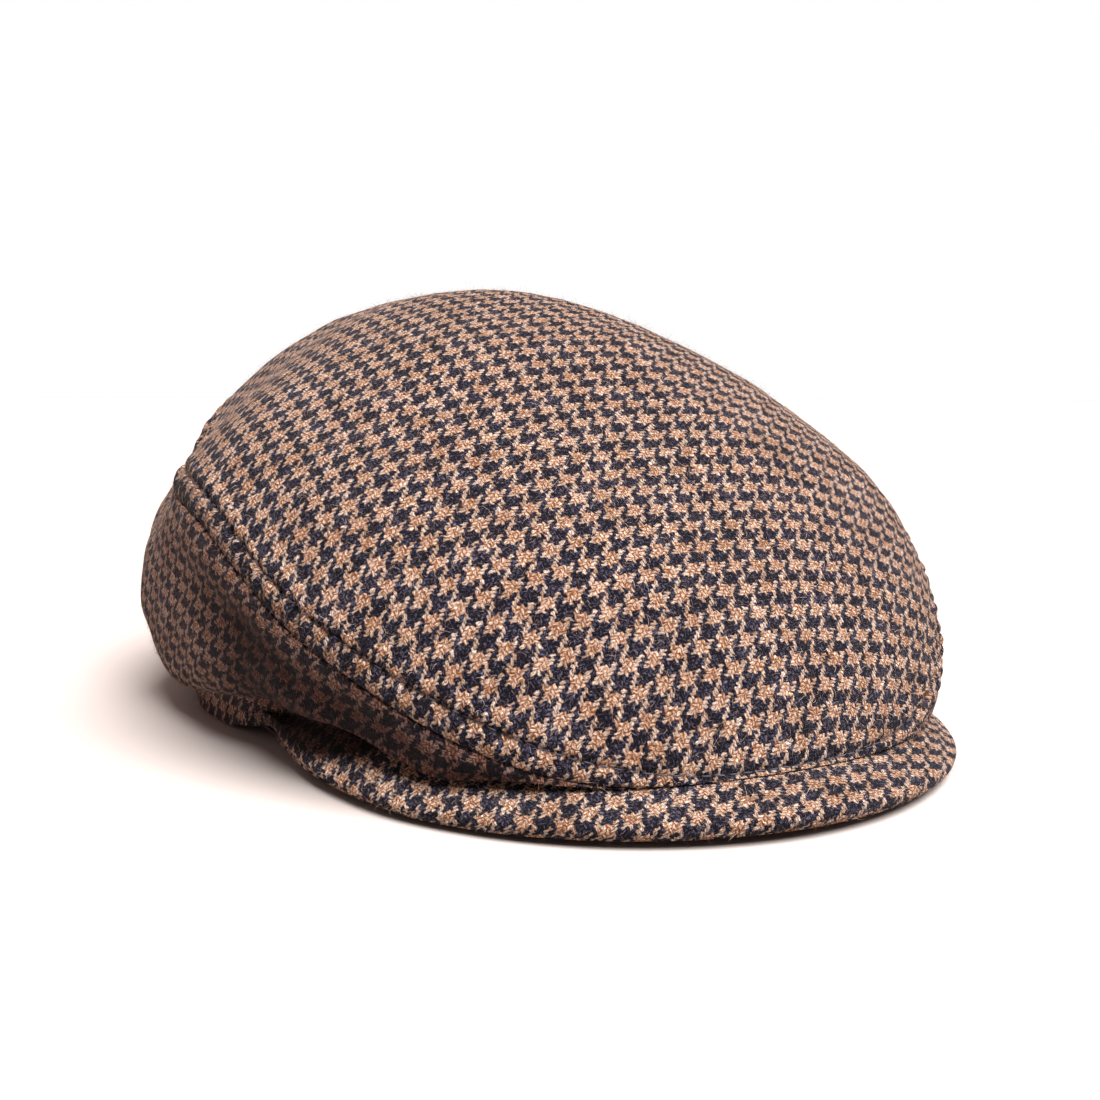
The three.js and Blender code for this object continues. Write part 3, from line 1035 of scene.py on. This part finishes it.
def peak_painted_light_and_shade(turns, across):
    """Painted shade in the hollow beside the temple and at the peak's ends, and a painted highlight at
    the edge.
    """
    shaded = PEAK_SHADE_LEAST + PEAK_SHADE_MORE * behind(turns, *PEAK_SHADE_SPREADS)
    dark = 1 - smoothstep(across - shaded, 0, PEAK_SHADE_SOFTNESS)
    dark = np.maximum(dark, behind(turns, *PEAK_END_SHADE))
    painted_highlight = PEAK_PAINTED_HIGHLIGHT * across * behind(turns, *PEAK_PAINTED_HIGHLIGHT_STARTS)
    return (HOLLOW_PAINTED_SHADE * dark - painted_highlight * (1 - dark)) * near_temple(turns)


def make_peak():
    turns, loops, shares = peak_loops()
    columns, rows = shares.shape
    count = loops.shape[1]
    cloth = peak_cloth(turns, loops, shares)
    places = placed(turns, loops)
    settle = np.sin(math.pi * np.clip(np.arange(count) / (rows + 6), 0, 1))
    places[..., 2] += unevenness(places, PEAK_WAVES, 41) * settle
    places[..., 2] = np.maximum(places[..., 2], 0)
    across = np.concatenate([shares, np.ones((columns, count - rows))], axis=1)
    # Painted shade in the hollow beside the temple, and a painted highlight on the edge
    grime = peak_painted_light_and_shade(turns, across)
    seen = slice(0, rows + 10)
    OUTSIDES["peak"] = places[:, seen], cloth[:, seen], grime[:, seen]
    piece = swept_piece("peak_cloth_cover", places, cloth, grime, True)
    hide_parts("peak")
    return piece


def stitch_line(seams):
    """The row of stitches round the top panel, and the direction down the panel at each point."""
    sheet = top_panel_sheet(seams)
    places = placed(sheet.turns, sheet.face)
    last_row = places.shape[1] - 1
    welt_row = last_row - seams.welt_width * welt_share(sheet.turns)[:, 0] / TOP_WELT_STEP
    above = np.floor(welt_row).astype(int)
    column = np.arange(len(above))
    share = (welt_row - above)[:, None]
    line = places[column, above] * (1 - share) + places[column, above + 1] * share
    return line, places[column, above + 1] - places[column, above - 1]


def between(at, reach, points):
    """The value at one distance along a line, given how far along it each of its points lies."""
    return np.array([np.interp(at, reach, points[:, k]) for k in range(3)])


def stitch_ring(middle, ahead, down, arch, thread):
    """A ring of points round the thread. arch is 0 where it goes into the cloth, and 1 at its top."""
    ahead = ahead / (np.linalg.norm(ahead) + 1e-12)
    up = np.cross(down, ahead)
    up /= np.linalg.norm(up) + 1e-12
    side = np.cross(ahead, up)
    middle = middle + up * (arch ** 0.5 * 1.2 - 0.9) * thread
    thick = thread * (0.45 + 0.55 * arch ** 0.4)
    spin = np.linspace(0, 2 * math.pi, STITCH_SIDES, endpoint=False)[:, None]
    return middle + thick * (np.cos(spin) * side + np.sin(spin) * up)


def stitch_faces(first):
    """The faces of one stitch, given the number of its first point."""
    rings = first + np.arange(STITCH_RINGS * STITCH_SIDES).reshape(STITCH_RINGS, STITCH_SIDES)
    around = np.roll(rings, -1, axis=1)
    quads = np.stack([rings[:-1], around[:-1], around[1:], rings[1:]], axis=2)
    return quads.reshape(-1, 4).tolist() + [rings[0, ::-1].tolist(), rings[-1].tolist()]


def make_topstitching(seams):
    """The row of stitches above the welt: short lengths of thread whose ends dip into the cloth."""
    line, down = stitch_line(seams)
    reach = reach_along(line)
    count = round(reach[-1] / seams.stitch_pitch)
    rings = []
    for number in range(count):
        for ring, part in enumerate(np.linspace(*STITCH_SPAN, STITCH_RINGS)):
            at = (number + part) / count * reach[-1]
            middle = between(at, reach, line)
            ahead = between(at + STITCH_LOOK_AHEAD, reach, line) - middle
            arch = math.sin(math.pi * ring / (STITCH_RINGS - 1))
            rings.append(stitch_ring(middle, ahead, between(at, reach, down), arch,
                                     seams.stitch_width / 2))
    verts = np.concatenate(rings)
    faces = []
    for first in range(0, len(verts), STITCH_RINGS * STITCH_SIDES):
        faces += stitch_faces(first)
    mesh = bpy.data.meshes.new("topstitching")
    mesh.from_pydata(verts.tolist(), [], faces)
    lay_cloth(mesh, np.zeros((len(verts), 2)))
    piece = add_piece("topstitching", mesh)
    return piece


def fibre_roots(sheet, fibres, chance):
    """Places scattered evenly over a sheet: each one's root and outward direction, where it lies on the
    flat cloth, and its painted shade."""
    places, cloth, grime = sheet
    corners = [places[:-1, :-1], places[:-1, 1:], places[1:, 1:], places[1:, :-1]]
    crossed = np.cross(corners[2] - corners[0], corners[1] - corners[3])
    areas = np.linalg.norm(crossed, axis=2).ravel() / 2
    square_centimetres = areas.sum() * 1e4
    count = int(square_centimetres * fibres.per_area)
    cells = chance.choice(areas.size, count, p=areas / areas.sum())
    a, b = chance.uniform(size=(2, count, 1))
    at = [corner.reshape(-1, 3)[cells] for corner in corners]
    root = (at[0] * (1 - b) + at[1] * b) * (1 - a) + (at[3] * (1 - b) + at[2] * b) * a
    outward = np.cross(at[1] - at[0], at[3] - at[0])
    outward /= np.linalg.norm(outward, axis=1)[:, None] + 1e-15
    spot = cloth[:-1, :-1].reshape(-1, 2)[cells]
    spot = spot + chance.normal(scale=FIBRE_STRAY, size=spot.shape)
    return root, outward, spot, grime[:-1, :-1].ravel()[cells]


def fibre_lines(root, outward, fibres, chance):
    """The middle line of each fibre from its root to its tip, and half of its width as a vector."""
    each = (len(root), 1)
    way = np.cross(outward, chance.normal(size=root.shape))
    way /= np.linalg.norm(way, axis=1)[:, None]
    rise = np.radians(chance.uniform(*FIBRE_RISE, each))
    droop = np.radians(chance.normal(*FIBRE_DROOP, each))
    swing = chance.normal(scale=FIBRE_SWING, size=each)
    length = fibres.length * np.exp(chance.normal(scale=FIBRE_LENGTH_SPREAD, size=each))
    middle = root - outward * FIBRE_ROOT_DEPTH
    line = [middle]
    for part in range(FIBRE_PARTS):
        turned = way * np.cos(swing * part) + np.cross(outward, way) * np.sin(swing * part)
        angle = rise - droop * part
        middle = middle + (turned * np.cos(angle) + outward * np.sin(angle)) * length / FIBRE_PARTS
        line.append(middle)
    flat = np.cross(way, outward + 0.5 * chance.normal(size=root.shape))
    flat *= fibres.width / 2 / np.linalg.norm(flat, axis=1)[:, None]
    return line, flat


def ribbons(line, flat):
    """A ribbon along each fibre that narrows to a point: the points of each, and all triangles."""
    points = []
    for part, middle in enumerate(line[:-1]):
        taper = 1 - 0.5 * part / FIBRE_PARTS
        points += [middle - flat * taper, middle + flat * taper]
    points.append(line[-1])
    tip = len(points) - 1
    shape = []
    for near in range(0, tip - 2, 2):
        shape += [(near, near + 1, near + 3), (near, near + 3, near + 2)]
    shape.append((tip - 2, tip - 1, tip))
    first = np.arange(len(flat))[:, None, None] * len(points)
    return np.stack(points, axis=1), (first + np.array(shape)).reshape(-1, 3)


def loose_fibres(name, sheet, fibres, seed):
    """Thin curved ribbons on the face of a sheet, each coloured by one point of the cloth."""
    chance = np.random.default_rng(seed)
    root, outward, spot, grime = fibre_roots(sheet, fibres, chance)
    verts, faces = ribbons(*fibre_lines(root, outward, fibres, chance))
    per_fibre = verts.shape[1]
    verts[..., 2] = np.maximum(verts[..., 2], FIBRE_CLEARANCE)
    mesh = bpy.data.meshes.new(name)
    mesh.from_pydata(verts.reshape(-1, 3).tolist(), [], faces.tolist())
    lay_cloth(mesh, np.repeat(spot, per_fibre, axis=0))
    lay_painted_shade(mesh, np.repeat(grime, per_fibre))
    piece = add_piece(name, mesh)
    return piece


class Number:
    """A number that a material's nodes work out, so that its formulas read as arithmetic."""

    def __init__(self, tree, socket):
        self.tree = tree
        self.socket = socket

    def maths(self, kind, *others):
        node = self.tree.nodes.new("ShaderNodeMath")
        node.operation = kind
        for slot, value in zip(node.inputs, (self, *others)):
            plug(self.tree, value, slot)
        return Number(self.tree, node.outputs[0])

    def __add__(self, other):
        return self.maths("ADD", other)

    def __sub__(self, other):
        return self.maths("SUBTRACT", other)

    def __mul__(self, other):
        return self.maths("MULTIPLY", other)

    def __truediv__(self, other):
        return self.maths("DIVIDE", other)

    def __mod__(self, other):
        return self.maths("FLOORED_MODULO", other)

    def __pow__(self, other):
        return self.maths("POWER", other)

    def __lt__(self, other):
        return self.maths("LESS_THAN", other)

    def floor(self):
        return self.maths("FLOOR")

    def sine(self):
        return self.maths("SINE")

    def size(self):
        return self.maths("ABSOLUTE")

    def at_least(self, low):
        return self.maths("MAXIMUM", low)

    def choose(self, when_one, when_zero):
        """One value where this number is 1, the other where it is 0, and a blend between."""
        return when_zero + (when_one - when_zero) * self


def plug(tree, value, slot):
    if isinstance(value, Number):
        tree.links.new(value.socket, slot)
    elif isinstance(value, bpy.types.NodeSocket):
        tree.links.new(value, slot)
    else:
        slot.default_value = value


def add_node(tree, kind, inputs=None, **settings):
    node = tree.nodes.new(kind)
    for name, value in settings.items():
        setattr(node, name, value)
    for name, value in (inputs or {}).items():
        plug(tree, value, node.inputs[name])
    return node


def new_material(name):
    material = bpy.data.materials.new(name)
    material.use_nodes = True
    tree = material.node_tree
    tree.nodes.clear()
    return material, tree


def vector_of(tree, x, y, z=0.0):
    return add_node(tree, "ShaderNodeCombineXYZ", {"X": x, "Y": y, "Z": z}).outputs[0]


def noise(tree, x, y, scale, detail=2.0, z=0.0):
    node = add_node(tree, "ShaderNodeTexNoise",
                    {"Vector": vector_of(tree, x, y, z), "Scale": scale, "Detail": detail})
    return Number(tree, node.outputs["Fac"])


def dice(tree, x, y, z=0.0):
    node = add_node(tree, "ShaderNodeTexWhiteNoise", {"Vector": vector_of(tree, x, y, z)},
                    noise_dimensions="3D")
    return Number(tree, node.outputs["Value"])


def mix_colour(tree, share, zero, one):
    node = add_node(tree, "ShaderNodeMix", {0: share, 6: zero, 7: one}, data_type="RGBA")
    return node.outputs[2]


def solid(colour):
    return (*colour, 1.0)


def wandered(tree, u, v, wander, z):
    """How far the threads wander. z picks one of many patterns."""
    return (noise(tree, u, v, wander.often, wander.detail, z) - 0.5) * wander.far


def cloth_threads(tree, wool):
    """Places on the cloth counted in threads: u to the right and v down, a little uneven."""
    cloth = add_node(tree, "ShaderNodeUVMap", uv_map=CLOTH_MAP).outputs["UV"]
    parts = add_node(tree, "ShaderNodeSeparateXYZ", {"Vector": cloth})
    per_metre = THREADS_PER_CHECK / wool.check_repeat
    u = Number(tree, parts.outputs["X"]) * per_metre
    v = Number(tree, parts.outputs["Y"]) * -per_metre
    off = [wandered(tree, u, v, wander, z) for wander, z in
           ((SWAY, 0.0), (JITTER, 3.0), (SWAY, 7.0), (JITTER, 11.0))]
    return u + off[0] + off[1], v + off[2] + off[3]


class Weave:
    """A check of four tan and four navy threads both ways, woven over two and under two."""

    def __init__(self, tree, wool):
        self.u, self.v = cloth_threads(tree, wool)
        self.i = self.u.floor()
        self.j = self.v.floor()
        half = THREADS_PER_CHECK / 2
        self.warp_up = (self.i + self.j + 1.0) % THREADS_PER_TWILL < THREADS_PER_TWILL / 2
        warp_tan = self.i % THREADS_PER_CHECK < half
        weft_tan = self.j % THREADS_PER_CHECK < half
        self.tan = self.warp_up.choose(warp_tan, weft_tan)
        self.mixed = (warp_tan - weft_tan).size()
        self.tan_over_navy = self.mixed * self.tan


def yarn_height(weave, yarn):
    """How high the face of the yarn stands: rounded across, dipping at both ends, and twisted."""
    u, v, i, j = weave.u, weave.v, weave.i, weave.j
    across = weave.warp_up.choose(u - i, v - j) - 0.5
    over_warp = (i + v + 1.0) % THREADS_PER_TWILL
    over_weft = (u + j + 1.0) % THREADS_PER_TWILL - 2.0
    along = weave.warp_up.choose(over_warp, over_weft) / 2.0
    width = weave.tan_over_navy * 0.12 + 0.95 + (yarn - 0.5) * 0.3
    beside = across * 2.0 / width
    rounded = (beside * beside * -1.0 + 1.0).at_least(0.0) ** 0.5
    ends = ((along - 0.5) * 2.0).size() ** 3.0
    dipped = rounded * (ends * (weave.tan_over_navy * 0.4 - 0.8) + 1.0)
    ply = ((across * 2.0 + along * 0.8 + yarn) * math.pi).sine().size()
    return dipped * (ply * 0.65 + 0.35) * (weave.tan_over_navy * -0.1 + 1.0)


def paleness(tree, weave, yarn, run, lit):
    """How pale the yarn is: along the run of its fibres, most where the yarn stands highest as a
    painted highlight, yarn by yarn, in flecks and in patches.
    """
    fleck = noise(tree, weave.u, weave.v, 1.8, 3.0, 21.0)
    patch = noise(tree, weave.u, weave.v, 0.11, 2.0, 33.0)
    paler = (run * PALER_RUN - 0.85) * lit + (yarn - 0.5) * PALER_YARN + (fleck - 0.5) * PALER_FLECK
    return paler + (patch - 0.5) * PALER_PATCH + weave.tan_over_navy * 0.08 - 0.12


def multiplied(tree, colour, factor):
    node = add_node(tree, "ShaderNodeVectorMath", {0: colour, 1: factor}, operation="MULTIPLY")
    return node.outputs[0]


def houndstooth(tree, wool):
    """The cloth's nodes: its colour, with painted shade in the gaps between the yarns and a painted
    highlight on their tops, and how high the yarn stands.
    """
    weave = Weave(tree, wool)
    u, v, i, j, warp_up = weave.u, weave.v, weave.i, weave.j, weave.warp_up
    warp_run = noise(tree, u * 2.6, v * 0.7, 1.0, 3.0)
    weft_run = noise(tree, u * 0.7, v * 2.6, 1.0, 3.0)
    run = warp_up.choose(warp_run, weft_run)
    warp_yarn = dice(tree, i, (j + i) / 2.0, 1.0)
    weft_yarn = dice(tree, (i + j) / 2.0, j, 5.0)
    yarn = warp_up.choose(warp_yarn, weft_yarn)
    height = yarn_height(weave, yarn)
    # Painted shade: lit is how brightly the colour is painted, darkest in the gaps between the yarns
    lit = height * 0.9 + 0.1
    paler = paleness(tree, weave, yarn, run, lit)
    tan_colour = mix_colour(tree, paler, solid(wool.tan), solid(wool.tan_light))
    navy_colour = mix_colour(tree, paler * 1.2 - 0.3, solid(wool.navy), solid(wool.navy_light))
    colour = mix_colour(tree, weave.tan, navy_colour, tan_colour)
    # The painted shade in the gaps is warm in solid tan and greyer where navy lies beneath
    red_shade = lit ** (weave.mixed * 0.5 + 0.75)
    green_shade = lit ** (weave.mixed * 0.25 + 1.0)
    blue_shade = lit ** 1.15
    shades = vector_of(tree, red_shade, green_shade, blue_shade)
    return multiplied(tree, colour, shades), height + run * 0.35


def darkened(tree, colour):
    """A colour darkened by the painted shade on the cloth, and painted paler where that is below 0."""
    grime = Number(tree, add_node(tree, "ShaderNodeAttribute", attribute_name=PAINTED_SHADE_ATTRIBUTE).outputs["Fac"])
    unshaded = grime * -1.0 + 1.0
    kept = vector_of(tree, grime * (PAINTED_SHADE_WARMTH - 1.0) + 1.0, unshaded, unshaded)
    return multiplied(tree, colour, kept)


def wool_material(name, wool, light_and_shade_tint=(1.0, 1.0, 1.0), haze=0.0):
    """The woven wool. Its tint darkens and warms or lightens a whole piece's cloth, as painted shade on
    the side panels and painted light on the band, the painted shade of each point darkens it, and haze
    says how far its raised nap hides the check."""
    material, tree = new_material(name)
    colour, height = houndstooth(tree, wool)
    napped = mix_colour(tree, haze, colour, NAP_COLOUR)
    shade_painted_colour = darkened(tree, multiplied(tree, napped, light_and_shade_tint))
    bump = add_node(tree, "ShaderNodeBump",
                    {"Height": height, "Distance": wool.yarn_relief, "Strength": 1.0})
    shader = add_node(tree, "ShaderNodeBsdfPrincipled", {
        "Base Color": shade_painted_colour, "Normal": bump.outputs[0], "Roughness": 0.92,
        "Specular IOR Level": 0.08, "Sheen Weight": 0.03, "Sheen Roughness": 0.4})
    add_node(tree, "ShaderNodeOutputMaterial", {"Surface": shader.outputs[0]})
    return material


def fibre_material(wool):
    """Loose fibres, each of the colour of the yarn at its root, darkened by the painted shade there."""
    material, tree = new_material("loose_wool_fibres")
    weave = Weave(tree, wool)
    paler = dice(tree, weave.u, weave.v, 3.0)
    tan_colour = mix_colour(tree, paler, solid(wool.tan), solid(wool.tan_light))
    navy_colour = mix_colour(tree, paler, solid(wool.navy_light), solid(wool.tan))
    colour = darkened(tree, mix_colour(tree, weave.tan, navy_colour, tan_colour))
    shader = add_node(tree, "ShaderNodeBsdfPrincipled",
                      {"Base Color": colour, "Roughness": 0.8, "Specular IOR Level": 0.1})
    add_node(tree, "ShaderNodeOutputMaterial", {"Surface": shader.outputs[0]})
    return material


def thread_material(wool):
    material, tree = new_material("sewing_thread")
    where = add_node(tree, "ShaderNodeTexCoord").outputs["Object"]
    twist = add_node(tree, "ShaderNodeTexNoise", {"Vector": where, "Scale": 2500.0, "Detail": 2.0})
    lighter = Number(tree, twist.outputs["Fac"]) * 0.4
    colour = mix_colour(tree, lighter, solid(wool.navy), solid(wool.navy_light))
    shader = add_node(tree, "ShaderNodeBsdfPrincipled",
                      {"Base Color": colour, "Roughness": 0.7, "Sheen Weight": 0.1})
    add_node(tree, "ShaderNodeOutputMaterial", {"Surface": shader.outputs[0]})
    return material


def dress(piece, material):
    piece.data.materials.clear()
    piece.data.materials.append(material)


def look_from(studio):
    """The camera's place, and its right, up and back directions as the columns of a matrix."""
    a, e, r = studio.azimuth, studio.elevation, studio.roll
    back = Vector((math.sin(a) * math.cos(e), -math.cos(a) * math.cos(e), math.sin(e)))
    right = Vector((math.cos(a), math.sin(a), 0))
    up = back.cross(right)
    rolled_right = right * math.cos(r) + up * math.sin(r)
    rolled_up = up * math.cos(r) - right * math.sin(r)
    axes = Matrix((rolled_right, rolled_up, back)).transposed()
    return Vector(studio.aim) + back * studio.distance, axes


def make_camera(studio):
    data = bpy.data.cameras.new("camera")
    data.lens = studio.lens
    data.sensor_width = 36
    data.clip_start = 0.01
    camera = bpy.data.objects.new("camera", data)
    place, axes = look_from(studio)
    camera.matrix_world = Matrix.Translation(place) @ axes.to_4x4()
    bpy.context.scene.collection.objects.link(camera)
    bpy.context.scene.camera = camera


def make_floor():
    """A large pale round floor."""
    work = bmesh.new()
    bmesh.ops.create_circle(work, cap_ends=True, segments=96, radius=6)
    mesh = bpy.data.meshes.new("floor")
    work.to_mesh(mesh)
    work.free()
    floor = bpy.data.objects.new("floor", mesh)
    bpy.context.scene.collection.objects.link(floor)
    material, tree = new_material("pale_floor")
    shader = add_node(tree, "ShaderNodeBsdfPrincipled",
                      {"Base Color": FLOOR_COLOUR, "Roughness": 0.8})
    add_node(tree, "ShaderNodeOutputMaterial", {"Surface": shader.outputs[0]})
    dress(floor, material)


def make_sky(studio):
    """Warm light from all round, brighter behind the cap, seen as a plain white backdrop."""
    world = bpy.data.worlds.new("studio")
    world.use_nodes = True
    tree = world.node_tree
    tree.nodes.clear()
    way = add_node(tree, "ShaderNodeTexCoord").outputs["Generated"]
    away = (-math.sin(studio.azimuth), math.cos(studio.azimuth), 0)
    behind = add_node(tree, "ShaderNodeVectorMath", {0: way, 1: away}, operation="DOT_PRODUCT")
    level = (Number(tree, behind.outputs["Value"]) - 0.3).at_least(0.0) * studio.backdrop + studio.fill
    seen = Number(tree, add_node(tree, "ShaderNodeLightPath").outputs["Is Camera Ray"])
    level = level + (level * -1.0 + 1.0) * seen
    colour = mix_colour(tree, seen, FILL_COLOUR, WHITE)
    background = add_node(tree, "ShaderNodeBackground", {"Color": colour, "Strength": level})
    add_node(tree, "ShaderNodeOutputWorld", {"Surface": background.outputs[0]})
    bpy.context.scene.world = world


def make_key_light(studio):
    data = bpy.data.lights.new("key_light", "SUN")
    data.energy = studio.key_strength
    data.angle = studio.key_softness
    lamp = bpy.data.objects.new("key_light", data)
    lamp.rotation_mode = "QUATERNION"
    lamp.rotation_quaternion = Vector(studio.key_from).to_track_quat("Z", "Y")
    bpy.context.scene.collection.objects.link(lamp)


class FLATCAP_OT_top_panel(bpy.types.Operator):
    """Makes the one big top panel with its welt and puckers"""

    bl_idname = "flat_cap.top_panel"
    bl_label = "Top panel"

    def execute(self, context):
        scene = context.scene
        piece = make_top_panel(scene.cap_seams)
        dress(piece, wool_material("houndstooth_wool", scene.cap_wool))
        return {"FINISHED"}


class FLATCAP_OT_side_panels(bpy.types.Operator):
    """Makes the two side panels, from the front to the centre-back seam"""

    bl_idname = "flat_cap.side_panels"
    bl_label = "Side panels"

    def execute(self, context):
        scene = context.scene
        # The side panels' copy of the cloth is tinted darker and warmer: painted shade
        material = wool_material("houndstooth_wool_sides_painted_shade", scene.cap_wool, SIDE_PAINTED_SHADE_TINT, SIDE_HAZE)
        dress(make_side_panel("side_panel_right", -1), material)
        dress(make_side_panel("side_panel_left", 1), material)
        return {"FINISHED"}


class FLATCAP_OT_head_band(bpy.types.Operator):
    """Makes the narrow band that grips the head"""

    bl_idname = "flat_cap.head_band"
    bl_label = "Head band"

    def execute(self, context):
        # The band's copy of the cloth is tinted paler: painted light
        material = wool_material("band_wool_painted_light", context.scene.cap_wool, BAND_PAINTED_LIGHT_TINT, BAND_HAZE)
        dress(make_head_band(), material)
        return {"FINISHED"}


class FLATCAP_OT_peak(bpy.types.Operator):
    """Makes the stiff cloth-covered peak"""

    bl_idname = "flat_cap.peak"
    bl_label = "Peak"

    def execute(self, context):
        dress(make_peak(), wool_material("peak_wool", context.scene.cap_wool))
        return {"FINISHED"}


class FLATCAP_OT_topstitching(bpy.types.Operator):
    """Makes the row of stitches above the welt"""

    bl_idname = "flat_cap.topstitching"
    bl_label = "Topstitching"

    def execute(self, context):
        scene = context.scene
        dress(make_topstitching(scene.cap_seams), thread_material(scene.cap_wool))
        return {"FINISHED"}


class FLATCAP_OT_loose_fibres(bpy.types.Operator):
    """Makes the loose wool fibres that stand on each piece's face"""

    bl_idname = "flat_cap.loose_fibres"
    bl_label = "Loose fibres"

    def execute(self, context):
        scene = context.scene
        material = fibre_material(scene.cap_wool)
        for seed, (name, sheet) in enumerate(OUTSIDES.items()):
            dress(loose_fibres(f"{name}_fibres", sheet, scene.cap_fibres, seed), material)
        return {"FINISHED"}


class FLATCAP_OT_studio(bpy.types.Operator):
    """Makes the floor, the lights and the camera"""

    bl_idname = "flat_cap.studio"
    bl_label = "Studio"

    def execute(self, context):
        studio = context.scene.cap_studio
        make_floor()
        make_sky(studio)
        make_key_light(studio)
        make_camera(studio)
        context.scene.view_settings.view_transform = "Standard"
        return {"FINISHED"}


OPERATORS = [
    FLATCAP_OT_top_panel,
    FLATCAP_OT_side_panels,
    FLATCAP_OT_head_band,
    FLATCAP_OT_peak,
    FLATCAP_OT_topstitching,
    FLATCAP_OT_loose_fibres,
    FLATCAP_OT_studio,
]


class FLATCAP_PT_panel(bpy.types.Panel):
    """Lists the cap's settings and the steps that make it"""

    bl_idname = "FLATCAP_PT_panel"
    bl_label = "Flat cap"
    bl_space_type = "VIEW_3D"
    bl_region_type = "UI"
    bl_category = "Flat cap"

    def draw(self, context):
        for settings in SETTINGS:
            box = self.layout.box()
            group = getattr(context.scene, settings)
            for name in group.__annotations__:
                box.prop(group, name)
        for operator in OPERATORS:
            self.layout.operator(operator.bl_idname)


SETTINGS = {
    "cap_wool": WoolSettings,
    "cap_seams": SeamSettings,
    "cap_fibres": FibreSettings,
    "cap_studio": StudioSettings,
}


def register():
    for name, group in SETTINGS.items():
        bpy.utils.register_class(group)
        setattr(bpy.types.Scene, name, bpy.props.PointerProperty(type=group))
    for operator in (*OPERATORS, FLATCAP_PT_panel):
        bpy.utils.register_class(operator)


def unregister():
    for operator in reversed((*OPERATORS, FLATCAP_PT_panel)):
        bpy.utils.unregister_class(operator)
    for name in SETTINGS:
        delattr(bpy.types.Scene, name)
    for group in reversed(SETTINGS.values()):
        bpy.utils.unregister_class(group)


def main():
    register()
    bpy.ops.flat_cap.top_panel()
    bpy.ops.flat_cap.side_panels()
    bpy.ops.flat_cap.head_band()
    bpy.ops.flat_cap.peak()
    bpy.ops.flat_cap.topstitching()
    bpy.ops.flat_cap.loose_fibres()
    bpy.ops.flat_cap.studio()


if __name__ == "__main__":
    main()
